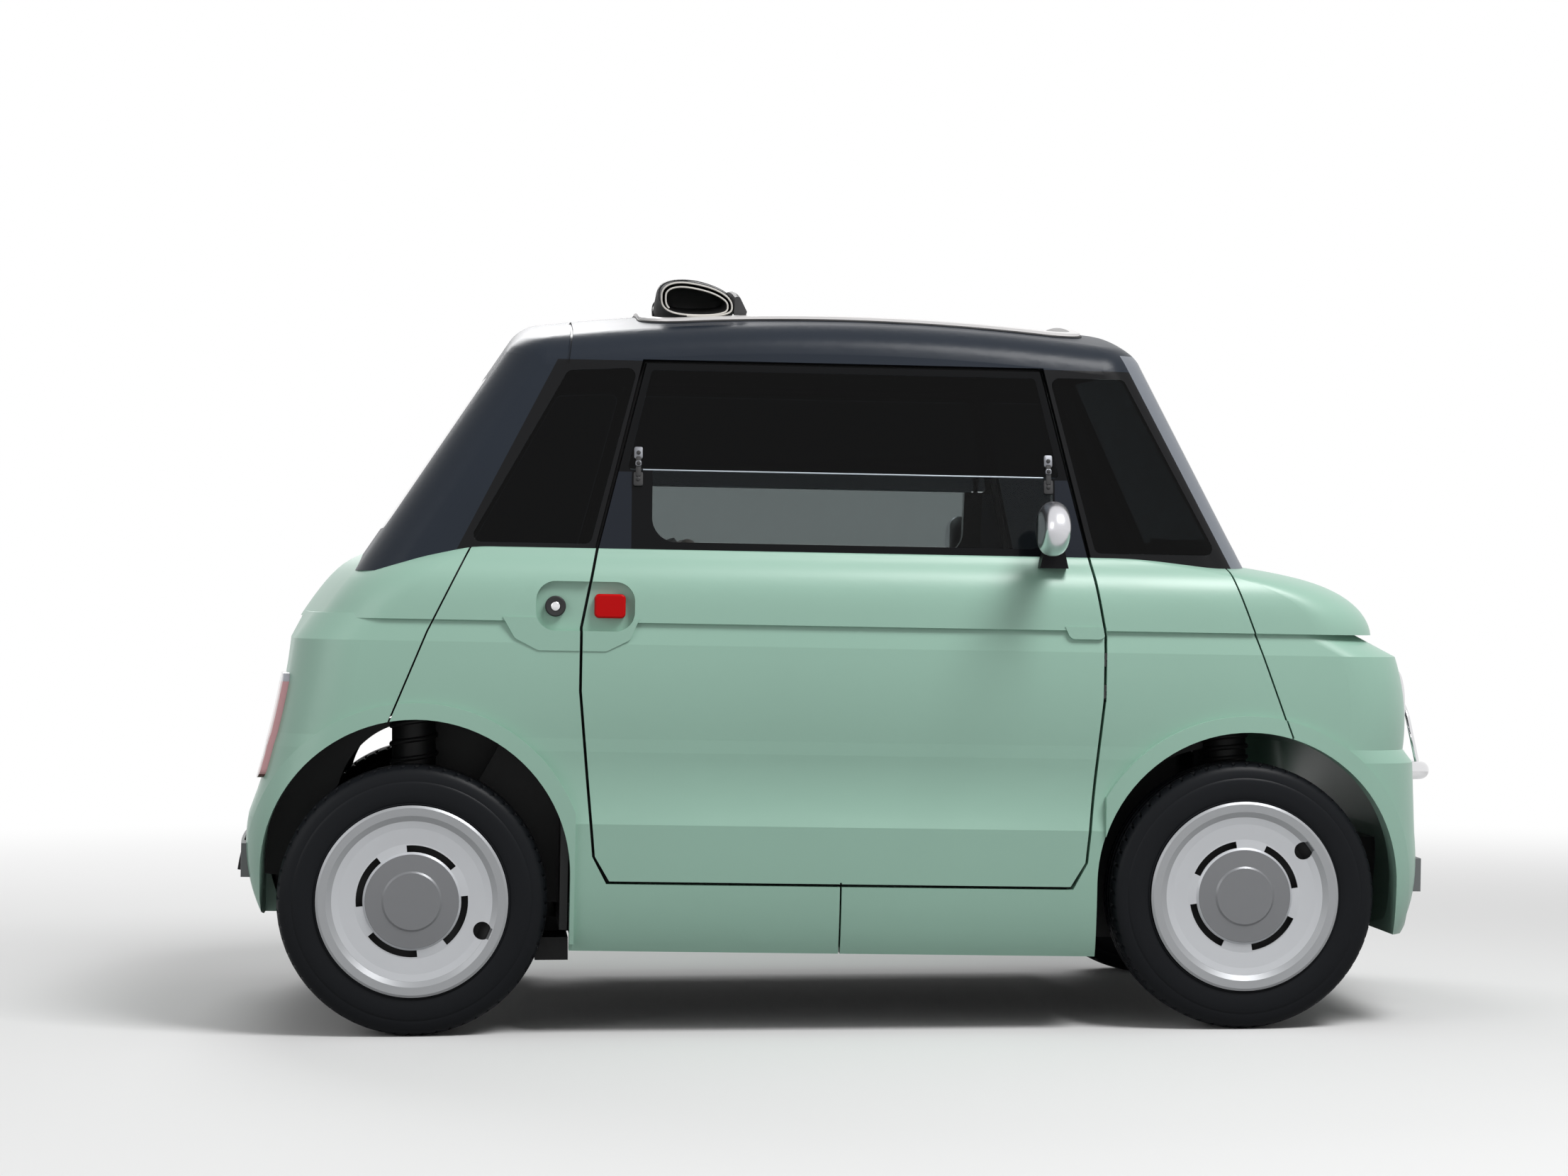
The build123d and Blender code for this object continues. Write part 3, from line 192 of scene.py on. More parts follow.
# Black band round the side glass, and a lighter grey-blue band of painted sky sheen on the black windscreen
# pillar
UNDER_GLASS = 0.9
REAR_PANE_LINE = ((-0.790, 0.989), (-0.599, 1.367))
PILLAR_LINE = ((0.637, 1.356), (0.829, 0.980))
PILLAR_SHEEN = (0.0005, 0.036)
BAND_TOP = 1.389
BAND_OUT = 0.47
PILLAR_SHEEN_TOP = 1.425
PILLAR_SHEEN_OUT = 0.4
# Windscreen and rear window: their sides lean in by this much for each metre up
SCREEN_LEAN = 0.187
SCREEN_HALF = 0.686
SCREEN_FOOT = 1.045
# Mirrors and tail lamps
MIRROR_FOOT = 0.752
TAIL_LAMP_Y = 0.535
TAIL_LAMP_Z = 0.616
TAIL_LAMP_HALF = (0.036, 0.099)
# Where the painted sheen on the outer edge and the painted reflection along the top begin
TAIL_LAMP_SHEEN_FROM = (0.5765, 0.707)
REVERSING_LAMP = (0.545, 0.580)
REVERSING_HALF = 0.033
# Wheel covers: radii of cap and dish, and where the cover's back lies
CAP_RADIUS = 0.0965
DISH_RADIUS = 0.1645
COVER_BACK = 0.6655


def finish(name, colour, rough, metal=0.0, mottle=0.04, grain=0.0, grain_size=0.001, coat=0.0,
           coat_rough=0.15, see_through=0.0, specular=0.5, ior=1.5, sheen=0.0, rough_spread=0.06):
    """Surface whose tone, gloss and grain vary a little over the piece."""
    made = bpy.data.materials.new(name)
    made.use_nodes = True
    tree = made.node_tree
    shader = tree.nodes["Principled BSDF"]
    place = object_place(tree)
    cloud = new_node(tree, "TexNoise", {"Scale": 1 / CLOUD_SIZE, "Detail": 4, "Vector": place})["Fac"]
    tones = {
        "A": [c * (1 - mottle) for c in colour] + [1],
        "B": [min(1, c * (1 + mottle)) for c in colour] + [1],
        "Factor": cloud,
    }
    gloss = {"To Min": max(0, rough - rough_spread), "To Max": rough + rough_spread, "Value": cloud}
    feed(tree, shader, {
        "Base Color": new_node(tree, "Mix", tones, data_type="RGBA")["Result"],
        "Roughness": new_node(tree, "MapRange", gloss)[0],
        "Metallic": metal,
        "Coat Weight": coat,
        "Coat Roughness": coat_rough,
        "IOR": ior,
        "Transmission Weight": see_through,
        "Specular IOR Level": specular,
        "Sheen Weight": sheen,
    })
    if grain:
        pore = new_node(tree, "TexNoise", {"Scale": 1 / grain_size, "Detail": 2, "Vector": place})["Fac"]
        bump = new_node(tree, "Bump", {"Strength": 1, "Distance": grain, "Height": pore})
        feed(tree, shader, {"Normal": bump[0]})
    return made


def level_axes(tree):
    """The level body's own coordinates, undoing its nose-down tilt."""
    back = LEVEL.inverted().translation
    undo = {"Rotation": (0, -BODY_TILT, 0), "Location": back, "Vector": object_place(tree)}
    return axes(tree, new_node(tree, "Mapping", undo)[0])


def away(tree, value, centre):
    """How far a value is from a centre."""
    return calc(tree, "ABSOLUTE", calc(tree, "SUBTRACT", value, centre))


def within(tree, value, low, high):
    """One where a value lies between two limits."""
    return calc(tree, "COMPARE", value, (low + high) / 2, (high - low) / 2)


def beyond(tree, value, low):
    """One where a value is more than a limit, up to well past the car."""
    return within(tree, value, low, low + PAST_CAR)


def below(tree, value, high):
    """One where a value is less than a limit, down to well past the car."""
    return within(tree, value, high - PAST_CAR, high)


def line_side(tree, x, z, start, end):
    """Distance to the right of a line from one (x, z) to another."""
    (x0, z0), (x1, z1) = start, end
    long = hypot(x1 - x0, z1 - z0)
    across, up = (z1 - z0) / long, (x0 - x1) / long
    along_x = calc(tree, "MULTIPLY_ADD", x, across, -(x0 * across + z0 * up))
    return calc(tree, "MULTIPLY_ADD", z, up, along_x)


def overlap(tree, first, *others):
    """One where all masks are one."""
    for other in others:
        first = calc(tree, "MULTIPLY", first, other)
    return first


def paint_over(material, mask, colour, socket="Base Color"):
    """Another colour or value on a finish where its mask is one."""
    tree = material.node_tree
    shader = tree.nodes["Principled BSDF"]
    target = shader.inputs[socket]
    kind = "RGBA" if socket == "Base Color" else "FLOAT"
    before = target.links[0].from_socket if target.is_linked else target.default_value
    both = {"A": before, "B": (*colour, 1) if kind == "RGBA" else colour, "Factor": mask}
    feed(tree, shader, {socket: new_node(tree, "Mix", both, data_type=kind)["Result"]})


def darken_hinge_pins(material):
    """The door hinges' pins are black steel between the mint panels."""
    tree = material.node_tree
    x, _, z = level_axes(tree)
    in_gap = below(tree, away(tree, away(tree, x, DOOR_MIDDLE), DOOR_HALF), HINGE_GAP)
    paint_over(material, overlap(tree, in_gap, within(tree, z, *HINGE_HEIGHTS)), (0.01, 0.01, 0.01))


def clear_flip_pane(material):
    """The lower panes of the doors are lighter glass than the rest."""
    tree = material.node_tree
    x, _, z = level_axes(tree)
    near_middle = below(tree, away(tree, x, DOOR_MIDDLE), FLIP_PANE_HALF)
    paint_over(material, overlap(tree, near_middle, within(tree, z, *FLIP_PANE)), (0.33, 0.36, 0.36))


def blacken_window_band(material):
    """Bonded glass look round the quarter panes, and a painted sky sheen as a lighter grey-blue band on the
    pillar beside the windscreen.
    """
    tree = material.node_tree
    x, y, z = level_axes(tree)
    out = away(tree, y, 0)
    band = overlap(
        tree,
        beyond(tree, line_side(tree, x, z, *REAR_PANE_LINE), 0),
        beyond(tree, line_side(tree, x, z, *PILLAR_LINE), 0),
        within(tree, z, UNDER_GLASS, BAND_TOP),
        beyond(tree, out, BAND_OUT),
    )
    paint_over(material, band, (0.003, 0.0032, 0.004))
    paint_over(material, band, 0.1, "Roughness")
    # Painted sheen: a lighter grey-blue band on the black pillar beside the windscreen, standing in for the
    # sky's reflection
    strip = overlap(
        tree,
        within(tree, line_side(tree, x, z, *PILLAR_LINE[::-1]), *PILLAR_SHEEN),
        beyond(tree, out, PILLAR_SHEEN_OUT),
        within(tree, z, UNDER_GLASS, PILLAR_SHEEN_TOP),
    )
    paint_over(material, strip, (0.17, 0.185, 0.21))


def dull_door_corners(material):
    """Grained corners of the door frame beside the lower pane."""
    tree = material.node_tree
    x, _, z = level_axes(tree)
    ends = beyond(tree, away(tree, x, DOOR_MIDDLE), CORNER_FROM)
    corner = overlap(tree, ends, within(tree, z, UNDER_GLASS, CORNER_TOP))
    paint_over(material, corner, (0.014, 0.017, 0.024))
    paint_over(material, corner, 0.42, "Roughness")


def darken_mirror_feet(material):
    """Black foot and arm under each bright mirror shell."""
    tree = material.node_tree
    foot = below(tree, away(tree, axes(tree, object_place(tree))[1], 0), MIRROR_FOOT)
    paint_over(material, foot, (0.012, 0.012, 0.013))
    paint_over(material, foot, 0.5, "Roughness")


def divide_tail_lamps(material):
    """Dark surround and clear reversing lamp of the tail lamps, with a pale pink painted sheen on the outer
    edge and a grey-blue painted reflection along the top, where the lamp has a chrome edge.
    """
    tree = material.node_tree
    _, y, z = level_axes(tree)
    out = away(tree, y, 0)
    across, up = away(tree, out, TAIL_LAMP_Y), away(tree, z, TAIL_LAMP_Z)
    dark_red = (0.10, 0.004, 0.006)
    paint_over(material, beyond(tree, across, TAIL_LAMP_HALF[0]), dark_red)
    paint_over(material, beyond(tree, up, TAIL_LAMP_HALF[1]), dark_red)
    clear = overlap(tree, within(tree, z, *REVERSING_LAMP), below(tree, across, REVERSING_HALF))
    paint_over(material, clear, (0.75, 0.72, 0.70))
    # Painted sheen: pale pink along the lamp's outer edge
    paint_over(material, beyond(tree, out, TAIL_LAMP_SHEEN_FROM[0]), (0.62, 0.30, 0.32))
    # Painted reflection: grey-blue along the top, standing in for the chrome top edge
    paint_over(material, beyond(tree, z, TAIL_LAMP_SHEEN_FROM[1]), (0.42, 0.42, 0.47))


def band_screen_edges(material):
    """Black printed border of the windscreen and the rear window."""
    tree = material.node_tree
    _, y, z = level_axes(tree)
    border = beyond(tree, calc(tree, "MULTIPLY_ADD", z, SCREEN_LEAN, away(tree, y, 0)), SCREEN_HALF)
    print_black = (0.004, 0.004, 0.004)
    paint_over(material, border, print_black)
    paint_over(material, within(tree, z, UNDER_GLASS, SCREEN_FOOT), print_black)


def ring_wheel(material):
    """Wheel cover: dull cap, bright dish, plain rim band; dark steel behind it."""
    tree = material.node_tree
    x, y, z = axes(tree, object_place(tree))
    reach = {"X": away(tree, away(tree, x, BODY_SHIFT), AXLE_X), "Z": away(tree, z, HUB_Z)}
    radius = length(tree, new_node(tree, "CombineXYZ", reach)[0])
    paint_over(material, below(tree, radius, CAP_RADIUS), (0.2, 0.205, 0.215))
    paint_over(material, beyond(tree, radius, DISH_RADIUS), (0.36, 0.37, 0.385))
    inner = below(tree, away(tree, y, 0), COVER_BACK)
    paint_over(material, inner, (0.02, 0.02, 0.021))
    paint_over(material, inner, 0.7, "Roughness")


MINT = finish("mint_plastic", (0.282, 0.468, 0.376), 0.42, mottle=0.02, grain=0.00006, grain_size=0.004,
              coat=0.3, coat_rough=0.32)
ROOF_BLACK = finish("roof_black", (0.013, 0.018, 0.027), 0.4, mottle=0.1, grain=0.00005, grain_size=0.002,
                    specular=0.06, coat=0.24, coat_rough=0.28)
FRAME_BLACK = finish("door_frame_black", (0.003, 0.0033, 0.004), 0.1, mottle=0.1, specular=0.05,
                     coat=0.14, coat_rough=0.08)
DARK_GLASS = finish("dark_glass", (0.016, 0.019, 0.022), 0.0, mottle=0.02, see_through=1.0, ior=1.05,
                    coat=0.18, coat_rough=0.02, rough_spread=0.0)
SCREEN_GLASS = finish("screen_glass", (0.42, 0.48, 0.47), 0.0, mottle=0.02, see_through=1.0, ior=1.15,
                      coat=0.4, coat_rough=0.02, rough_spread=0.0)
TYRE_RUBBER = finish("tyre_rubber", (0.009, 0.010, 0.012), 0.5, mottle=0.2, grain=0.0001, grain_size=0.0015,
                     specular=0.05, coat=0.1, coat_rough=0.3)
WHEEL_SILVER = finish("wheel_silver", (0.56, 0.575, 0.6), 0.36, metal=0.35, grain=0.00002, grain_size=0.0006)
CHASSIS_BLACK = finish("chassis_black", (0.014, 0.014, 0.015), 0.5, mottle=0.15, grain=0.0002,
                       grain_size=0.003, specular=0.3)
CHROME = finish("chrome", (0.75, 0.75, 0.76), 0.08, metal=1.0, mottle=0.01, rough_spread=0.02)
MIRROR_CHROME = finish("mirror_chrome", (0.66, 0.66, 0.69), 0.26, metal=1.0, mottle=0.01, rough_spread=0.02)
DULL_STEEL = finish("dull_steel", (0.16, 0.165, 0.18), 0.35, metal=0.8, mottle=0.1, grain=0.00005,
                    grain_size=0.0008)
STRIP_RUBBER = finish("strip_rubber", (0.16, 0.165, 0.17), 0.6, grain=0.0001, grain_size=0.001)
TRIM_BLACK = finish("trim_black", (0.018, 0.018, 0.019), 0.55, grain=0.00015, grain_size=0.0012,
                    specular=0.35)
RIM_LIGHT = finish("roof_rim_light", (0.72, 0.705, 0.70), 0.35, metal=0.25, mottle=0.03)
RED_PLASTIC = finish("red_plastic", (0.50, 0.002, 0.003), 0.3, mottle=0.03, specular=0.08, coat=0.05)
LAMP_COVER = finish("lamp_cover", (0.96, 0.97, 0.98), 0.02, see_through=1.0, ior=1.3, mottle=0.01,
                    rough_spread=0.01)
LAMP_WHITE = finish("lamp_white", (0.82, 0.84, 0.86), 0.25, mottle=0.02, coat=0.4)
TAIL_RED = finish("tail_lamp_red", (0.42, 0.01, 0.016), 0.12, coat=0.5, coat_rough=0.04, mottle=0.03)
SEAT_CLOTH = finish("seat_cloth", (0.10, 0.085, 0.075), 0.85, grain=0.0006, grain_size=0.002, sheen=0.3)
CANVAS = finish("canvas", (0.010, 0.010, 0.012), 0.9, grain=0.0004, grain_size=0.001, sheen=0.1,
                specular=0.2)
PIPING = finish("piping", (0.62, 0.60, 0.56), 0.7, grain=0.0002, grain_size=0.001)
LIGHT_LINE = finish("pane_edge", (0.42, 0.47, 0.52), 0.3, metal=0.3)
SHELL_GREY = finish("seat_shell_grey", (0.045, 0.045, 0.047), 0.55, grain=0.0002, grain_size=0.0015)
darken_hinge_pins(MINT)
blacken_window_band(ROOF_BLACK)
dull_door_corners(FRAME_BLACK)
darken_mirror_feet(MIRROR_CHROME)
divide_tail_lamps(TAIL_RED)
clear_flip_pane(DARK_GLASS)
band_screen_edges(SCREEN_GLASS)
ring_wheel(WHEEL_SILVER)

SIDES = ("right", "left")
CORNERS = ("front_right", "front_left", "rear_right", "rear_left")
DRESS = {
    MINT: ["front_fascia", "rear_fascia", "side_panels_front", "side_panels_rear"]
    + [f"door_panel_{side}" for side in SIDES],
    ROOF_BLACK: ["cab_frame"],
    FRAME_BLACK: [f"door_frame_{side}" for side in SIDES],
    DARK_GLASS: ["quarter_glass"] + [f"door_glass_{side}" for side in SIDES],
    SCREEN_GLASS: ["windscreen", "rear_window"],
    RIM_LIGHT: ["roof_rim"],
    CHASSIS_BLACK: ["front_subframe", "rear_axle", "drive_motor", "battery_box"]
    + [f"knuckle_{side}" for side in SIDES],
    TRIM_BLACK: ["floor_tub", "dashboard", "steering_column", "steering_wheel", "door_locks"],
    STRIP_RUBBER: ["bumper_strips"],
    CHROME: ["front_bumper"],
    MIRROR_CHROME: [f"mirror_{side}" for side in SIDES],
    LAMP_WHITE: ["headlamps"],
    TAIL_RED: ["tail_lamps"],
    RED_PLASTIC: [f"door_handle_{side}" for side in SIDES],
    SEAT_CLOTH: ["seat_driver", "seat_passenger"],
    CANVAS: ["canvas_roll"],
    TYRE_RUBBER: [f"tyre_{corner}" for corner in CORNERS],
    WHEEL_SILVER: [f"wheel_{corner}" for corner in CORNERS],
}


def dress_nodes():
    """Each CAD node takes its finish."""
    for material, names in DRESS.items():
        for name in names:
            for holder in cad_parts[name].material_slots:
                holder.material = material


# Making pieces

def loft_faces(rows, count, closed=False):
    """Quads between rows of points that each close on themselves, with a cap at both ends if open."""
    faces = []
    for row in range(rows if closed else rows - 1):
        start, beside = row * count, (row + 1) % rows * count
        for at in range(count):
            after = (at + 1) % count
            faces.append((start + at, start + after, beside + after, beside + at))
    if not closed:
        faces += [tuple(range(count)), tuple((rows - 1) * count + at for at in range(count))]
    return faces


def sheet_faces(rows, columns, start=0):
    """Quads of an open sheet of points, row by row."""
    faces = []
    for row in range(rows):
        for at in range(start + row * (columns + 1), start + row * (columns + 1) + columns):
            faces.append((at, at + 1, at + columns + 2, at + columns + 1))
    return faces


def spread(start, end, steps):
    """Even values from start to end."""
    return [start + (end - start) * step / steps for step in range(steps + 1)]


def solid_mesh(name, points, faces, merge=0.0):
    """Mesh with outward faces; points that lie closer than a distance become one."""
    mesh = bpy.data.meshes.new(name)
    mesh.from_pydata(points, [], faces)
    shaped = bmesh.new()
    shaped.from_mesh(mesh)
    if merge:
        bmesh.ops.remove_doubles(shaped, verts=shaped.verts, dist=merge)
    bmesh.ops.recalc_face_normals(shaped, faces=shaped.faces)
    shaped.to_mesh(mesh)
    shaped.free()
    return mesh


def make_piece(name, points, faces, material, body, slot, angle=35, level=False):
    """Solid, smooth but for its edges, that rides on a body."""
    mesh = solid_mesh(name, points, faces)
    if level:
        mesh.transform(LEVEL)
    mesh.shade_smooth()
    mesh.set_sharp_from_angle(angle=radians(angle))
    mesh.materials.append(material)
    piece = add_object(name, mesh)
    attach(piece, body)
    return piece


# Tyres

TYRE_COLUMNS = 480
TREAD_PITCHES = 60
# Section from the bead to the tread's edge: distance outward, radius, both in millimetres
SIDEWALL = [
    (63, 186), (66, 191), (71, 194), (73.5, 199), (73, 201), (75.2, 205), (77, 218), (77.4, 231),
    (76.6, 241), (75.8, 243.5), (74.2, 246), (74.4, 248), (73.6, 253), (72.2, 259), (70, 264.5), (67, 269),
]
# Tread from its edge to the middle: distance outward, radius, depth cut there
TREAD = [
    (65, 271.5, 1.2), (60, 274.5, 4), (52, 276.4, 5), (46, 277.3, 5), (45, 277.4, 0),
    (44.8, 270.5, 0), (38.2, 270.5, 0), (38, 277.9, 0), (30, 278.2, 3), (24, 278.3, 3),
    (20, 278.4, 0), (19.8, 271, 0), (12.2, 271, 0), (12, 278.5, 0), (4, 278.5, 0),
]
# How far a cut slants for each millimetre outward, and its share of the tread's pitch
CUT_SLANT = 0.012
CUT_SHARE = 0.14


def tread_depth(turn, depth, outward):
    """Cross cuts, slanted a little, narrow against the blocks between them."""
    place = (turn * TREAD_PITCHES + outward * CUT_SLANT) % 1
    return depth if place < CUT_SHARE else 0


def make_tyre(corner):
    """Ribbed and grooved tyre with a bare sidewall."""
    low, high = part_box(f"tyre_{corner}")
    centre = (low + high) / 2
    half = [(out, radius, 0) for out, radius in SIDEWALL] + TREAD
    section = half + [(-out, radius, depth) for out, radius, depth in reversed(half)]
    points = []
    for column in range(TYRE_COLUMNS):
        turn = column / TYRE_COLUMNS
        for out, radius, depth in section:
            reach = (radius - tread_depth(turn, depth, out)) / 1000
            angle = turn * 2 * pi
            x, z = centre.x + reach * cos(angle), centre.z + reach * sin(angle)
            points.append((x, centre.y + out / 1000, z))
    faces = loft_faces(TYRE_COLUMNS, len(section), closed=True)
    tyre = make_piece(f"tyre_{corner}_treaded", points, faces, TYRE_RUBBER, f"wheel_{corner}", "tyre")
    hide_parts(f"tyre_{corner}")


# Shapes by hand

# Shapes
# changes up to the top, and how far out it stands, leans in and bows
CAB_FOOT = 940
CAB_TALL = 620
CAB_MIDDLE = -55.5
CAB_MIDDLE_SHIFT = 45
CAB_HALF = 937.5
CAB_TAPER = 355
CAB_OUT = 645
CAB_LEAN = 122
CAB_BOW = 12


def level_point(x, y, z):
    """Millimetres in the level body, as in the CAD source, to metres in the frame."""
    return LEVEL @ Vector((x / 1000, y / 1000, z / 1000))


def cab_side(x, z):
    """How far out the upper body's side stands, in level millimetres."""
    share = (z - CAB_FOOT) / CAB_TALL
    middle = CAB_MIDDLE + share * CAB_MIDDLE_SHIFT
    reach = CAB_HALF - share * CAB_TAPER
    return CAB_OUT - share * CAB_LEAN - CAB_BOW * ((x - middle) / reach) ** 2


def swept(path, radius, around=12, closed=False, squash=1.0):
    """Round bar's points and faces along a path of vectors, in the path's own units."""
    count = len(path)
    points = []
    side = None
    for at in range(count):
        ahead = path[(at + 1) % count] if closed or at < count - 1 else path[at]
        behind = path[at - 1] if closed or at > 0 else path[at]
        along = (ahead - behind).normalized()
        if side is None:
            side = along.orthogonal().normalized()
        side = (side - along * side.dot(along)).normalized()
        up = along.cross(side)
        for turn in range(around):
            angle = 2 * pi * turn / around
            points.append(path[at] + side * radius * cos(angle) + up * radius * squash * sin(angle))
    return points, loft_faces(count, around, closed)


def lathed(section, centre, axis, around=48):
    """Turned piece: section of (distance along the axis, radius), closed at both ends on the axis."""
    axis = axis.normalized()
    side = axis.orthogonal().normalized()
    up = axis.cross(side)
    points, faces, rings = [], [], []
    for along, radius in section:
        if radius == 0:
            rings.append([len(points)])
            points.append(centre + axis * along)
            continue
        rings.append(list(range(len(points), len(points) + around)))
        for turn in range(around):
            angle = 2 * pi * turn / around
            points.append(centre + axis * along + (side * cos(angle) + up * sin(angle)) * radius)
    for lower, upper in zip(rings, rings[1:]):
        for turn in range(around):
            after = (turn + 1) % around
            if len(lower) == 1:
                faces.append((lower[0], upper[turn], upper[after]))
            elif len(upper) == 1:
                faces.append((lower[turn], lower[after], upper[0]))
            else:
                faces.append((lower[turn], lower[after], upper[after], upper[turn]))
    return points, faces


def plate(corners, thick, normal, bevel=0.0, steps=3):
    """Flat plate of an outline with its edges rounded over on the outer side."""
    normal = normal.normalized()
    middle = sum(corners, Vector()) / len(corners)
    points = [point.copy() for point in corners]
    for step in range(steps + 1):
        angle = pi / 2 * step / steps
        inward = bevel * (1 - cos(angle))
        lift = thick - bevel + bevel * sin(angle)
        points += [point + (middle - point).normalized() * inward + normal * lift for point in corners]
    return points, loft_faces(steps + 2, len(corners))


def rounded_outline(wide, tall, radius, steps=5):
    """Corners of a rounded rectangle round the origin, as (across, up)."""
    outline = []
    for corner, (right, top) in enumerate(((1, 1), (-1, 1), (-1, -1), (1, -1))):
        for step in range(steps + 1):
            angle = pi / 2 * (corner + step / steps)
            across = right * (wide / 2 - radius) + radius * cos(angle)
            outline.append((across, top * (tall / 2 - radius) + radius * sin(angle)))
    return outline


def joined(parts):
    """Several (points, faces) as one."""
    points, faces = [], []
    for some_points, some_faces in parts:
        start = len(points)
        points += [Vector(point) for point in some_points]
        faces += [tuple(corner + start for corner in face) for face in some_faces]
    return points, faces


# Canvas roof rolled up on the rim

# The roll bends with the roof about a pivot far below it. Level millimetres.
ROLL_PIVOT_Z = -782.1
ROLL_RADIUS = 2350.3
ROLL_HALF_ANGLE = radians(10.2)
ROLL_X = -295
ROLL_DRIFT = 8
# The canvas winds round a flat section: half length, turns, angle it starts at, what each turn takes in
ROLL_REACH = 80
ROLL_TURNS = 1.86
ROLL_START = radians(-100)
TURN_GAP = 9
FOOT_GAP = 2
# Drop of the section's middle line and its heights over and under it, with what each changes forward
MIDDLE_DROP = 5.5
MIDDLE_FALL = 9.5
TOP_LIFT = 40
TOP_FALL = 5
FOOT_DROP = 31
FOOT_FALL = 9
# How squarely its ends, top and foot turn over
END_POWER = 0.85
TOP_POWER = 0.9
FOOT_POWER = 0.6
# Between its ends the top sinks by this share, with small sags: depth, waves and shift with each turn
SINK = 0.22
SAGS = ((1.2, 34, 4), (0.9, 71, -7))
FOOT_SAG = 0.1
# Front bar: forward places and lifts, and its share of the roll's width
BAR_SECTION = [(-212, -34), (-186, -34), (-184, -26), (-199, 3), (-205, 6), (-211, 4)]
BAR_SHARE = 0.97
# Cloth, piping and straps in metres, but for the straps' places and half width, which are angles
CLOTH_THICK = 0.0014
PIPING_RADIUS = 0.0019
STRAP_PLACES = (-0.115, 0.115)
STRAP_HALF = 0.0058
STRAP_STEPS = 48
STRAP_LIFT = 0.0022
STRAP_TOP = 1.9


def roll_section(turn):
    """Forward and upward place of the canvas's edge after some turns, from the roll's middle."""
    angle = ROLL_START + 2 * pi * turn
    way = 1 if cos(angle) > 0 else -1
    x = (ROLL_REACH - TURN_GAP * turn) * abs(cos(angle)) ** END_POWER * way
    share = x / ROLL_REACH
    middle = -MIDDLE_DROP - MIDDLE_FALL * share
    if sin(angle) > 0:
        return x, middle + (TOP_LIFT - TOP_FALL * share - TURN_GAP * turn) * sin(angle) ** TOP_POWER
    return x, middle - (FOOT_DROP - FOOT_FALL * share - FOOT_GAP * turn) * abs(sin(angle)) ** FOOT_POWER


def over_roof(x, across, radial):
    """Point at an angle across the roof, so far from the roll's pivot."""
    return level_point(x, radial * sin(across), ROLL_PIVOT_Z + radial * cos(across))


def roll_place(turn, across):
    """Point of the rolled canvas at an angle across the roof."""
    x, lift = roll_section(turn)
    share = across / ROLL_HALF_ANGLE
    sag = sum(deep * sin(across * waves + shift * turn) for deep, waves, shift in SAGS)
    if lift > 0:
        rise = lift * (1 - SINK * (1 - share**2)) + sag
    else:
        rise = lift + FOOT_SAG * sag
    return over_roof(ROLL_X + ROLL_DRIFT * (1 + share) + x, across, ROLL_RADIUS + rise)


def make_header_bar():
    """The canvas's front bar, lying ahead of the roll."""
    rows = 40
    half = ROLL_HALF_ANGLE * BAR_SHARE
    points = []
    for across in spread(-half, half, rows):
        points += [over_roof(x, across, ROLL_RADIUS + lift) for x, lift in BAR_SECTION]
    faces = loft_faces(rows + 1, len(BAR_SECTION))
    return make_piece("canvas_header_bar", points, faces, SHELL_GREY, "body", "canvas")


def strap_shape(across):
    """Points and faces of one strap, a full turn round the roll."""
    points = []
    for turn in spread(0, 1, STRAP_STEPS):
        inner = [roll_place(turn, across + shift) for shift in (-STRAP_HALF, STRAP_HALF)]
        outward = (roll_place(turn, across) - over_roof(ROLL_X, across, ROLL_RADIUS)).normalized()
        lift = outward * STRAP_LIFT
        points += [point + lift for point in inner]
        points += [point + lift * STRAP_TOP for point in reversed(inner)]
    return points, loft_faces(STRAP_STEPS + 1, 4)


def make_canvas_roll():
    """Canvas wound into a flattened roll, with piped hems and two straps."""
    stations, winds = 90, 170
    turns = spread(0, ROLL_TURNS, winds)
    points = []
    for across in spread(-ROLL_HALF_ANGLE, ROLL_HALF_ANGLE, stations):
        points += [roll_place(turn, across) for turn in turns]
    faces = sheet_faces(stations, winds)
    cloth = make_piece("canvas_rolled", points, faces, CANVAS, "body", "canvas", angle=80)
    walls = cloth.modifiers.new("cloth_thickness", "SOLIDIFY")
    walls.thickness = CLOTH_THICK
    walls.offset = 0
    hems = []
    for end in (-1, 1):
        line = [roll_place(turn, end * ROLL_HALF_ANGLE) for turn in turns]
        hems.append(swept(line, PIPING_RADIUS, around=8))
    piping = make_piece("canvas_piping", *joined(hems), PIPING, "body", "canvas", angle=80)
    straps = joined([strap_shape(across) for across in STRAP_PLACES])
    strap = make_piece("canvas_straps", *straps, TRIM_BLACK, "body", "canvas", angle=50)
    bar = make_header_bar()
    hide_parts("canvas_roll")


# Seats

# Each seat's shift forward and out, in level millimetres
SEAT_PLACES = {"driver": (0, 300), "passenger": (-160, -300)}
BACK_LEAN = atan2(140, 580)
# Sewn channels: places across a pad, and their width
CHANNELS = (-0.12, -0.04, 0.04, 0.12)
CHANNEL_WIDTH = 0.006
# Grid of a pad's cover, and the frames that its cloth is blown up for
COVER_GRID = 0.0075
PUFF_FRAMES = 18
SHELL_LINE = [
    (262, 420), (266, 455), (250, 462), (200, 428), (60, 420), (-90, 415), (-152, 430),
    (-190, 560), (-238, 760), (-285, 955), (-298, 1020), (-306, 1030), (-318, 1024),
    (-300, 930), (-255, 745), (-205, 540), (-180, 400), (-170, 388), (245, 388), (258, 396),
]
SHELL_HALF = 218
# Above this height the shell's corners round off
SHELL_CORNER_Z = 1000


def fresh_mesh(holder):
    """The holder's mesh as its modifiers leave it."""
    return bpy.data.meshes.new_from_object(holder.evaluated_get(bpy.context.evaluated_depsgraph_get()))


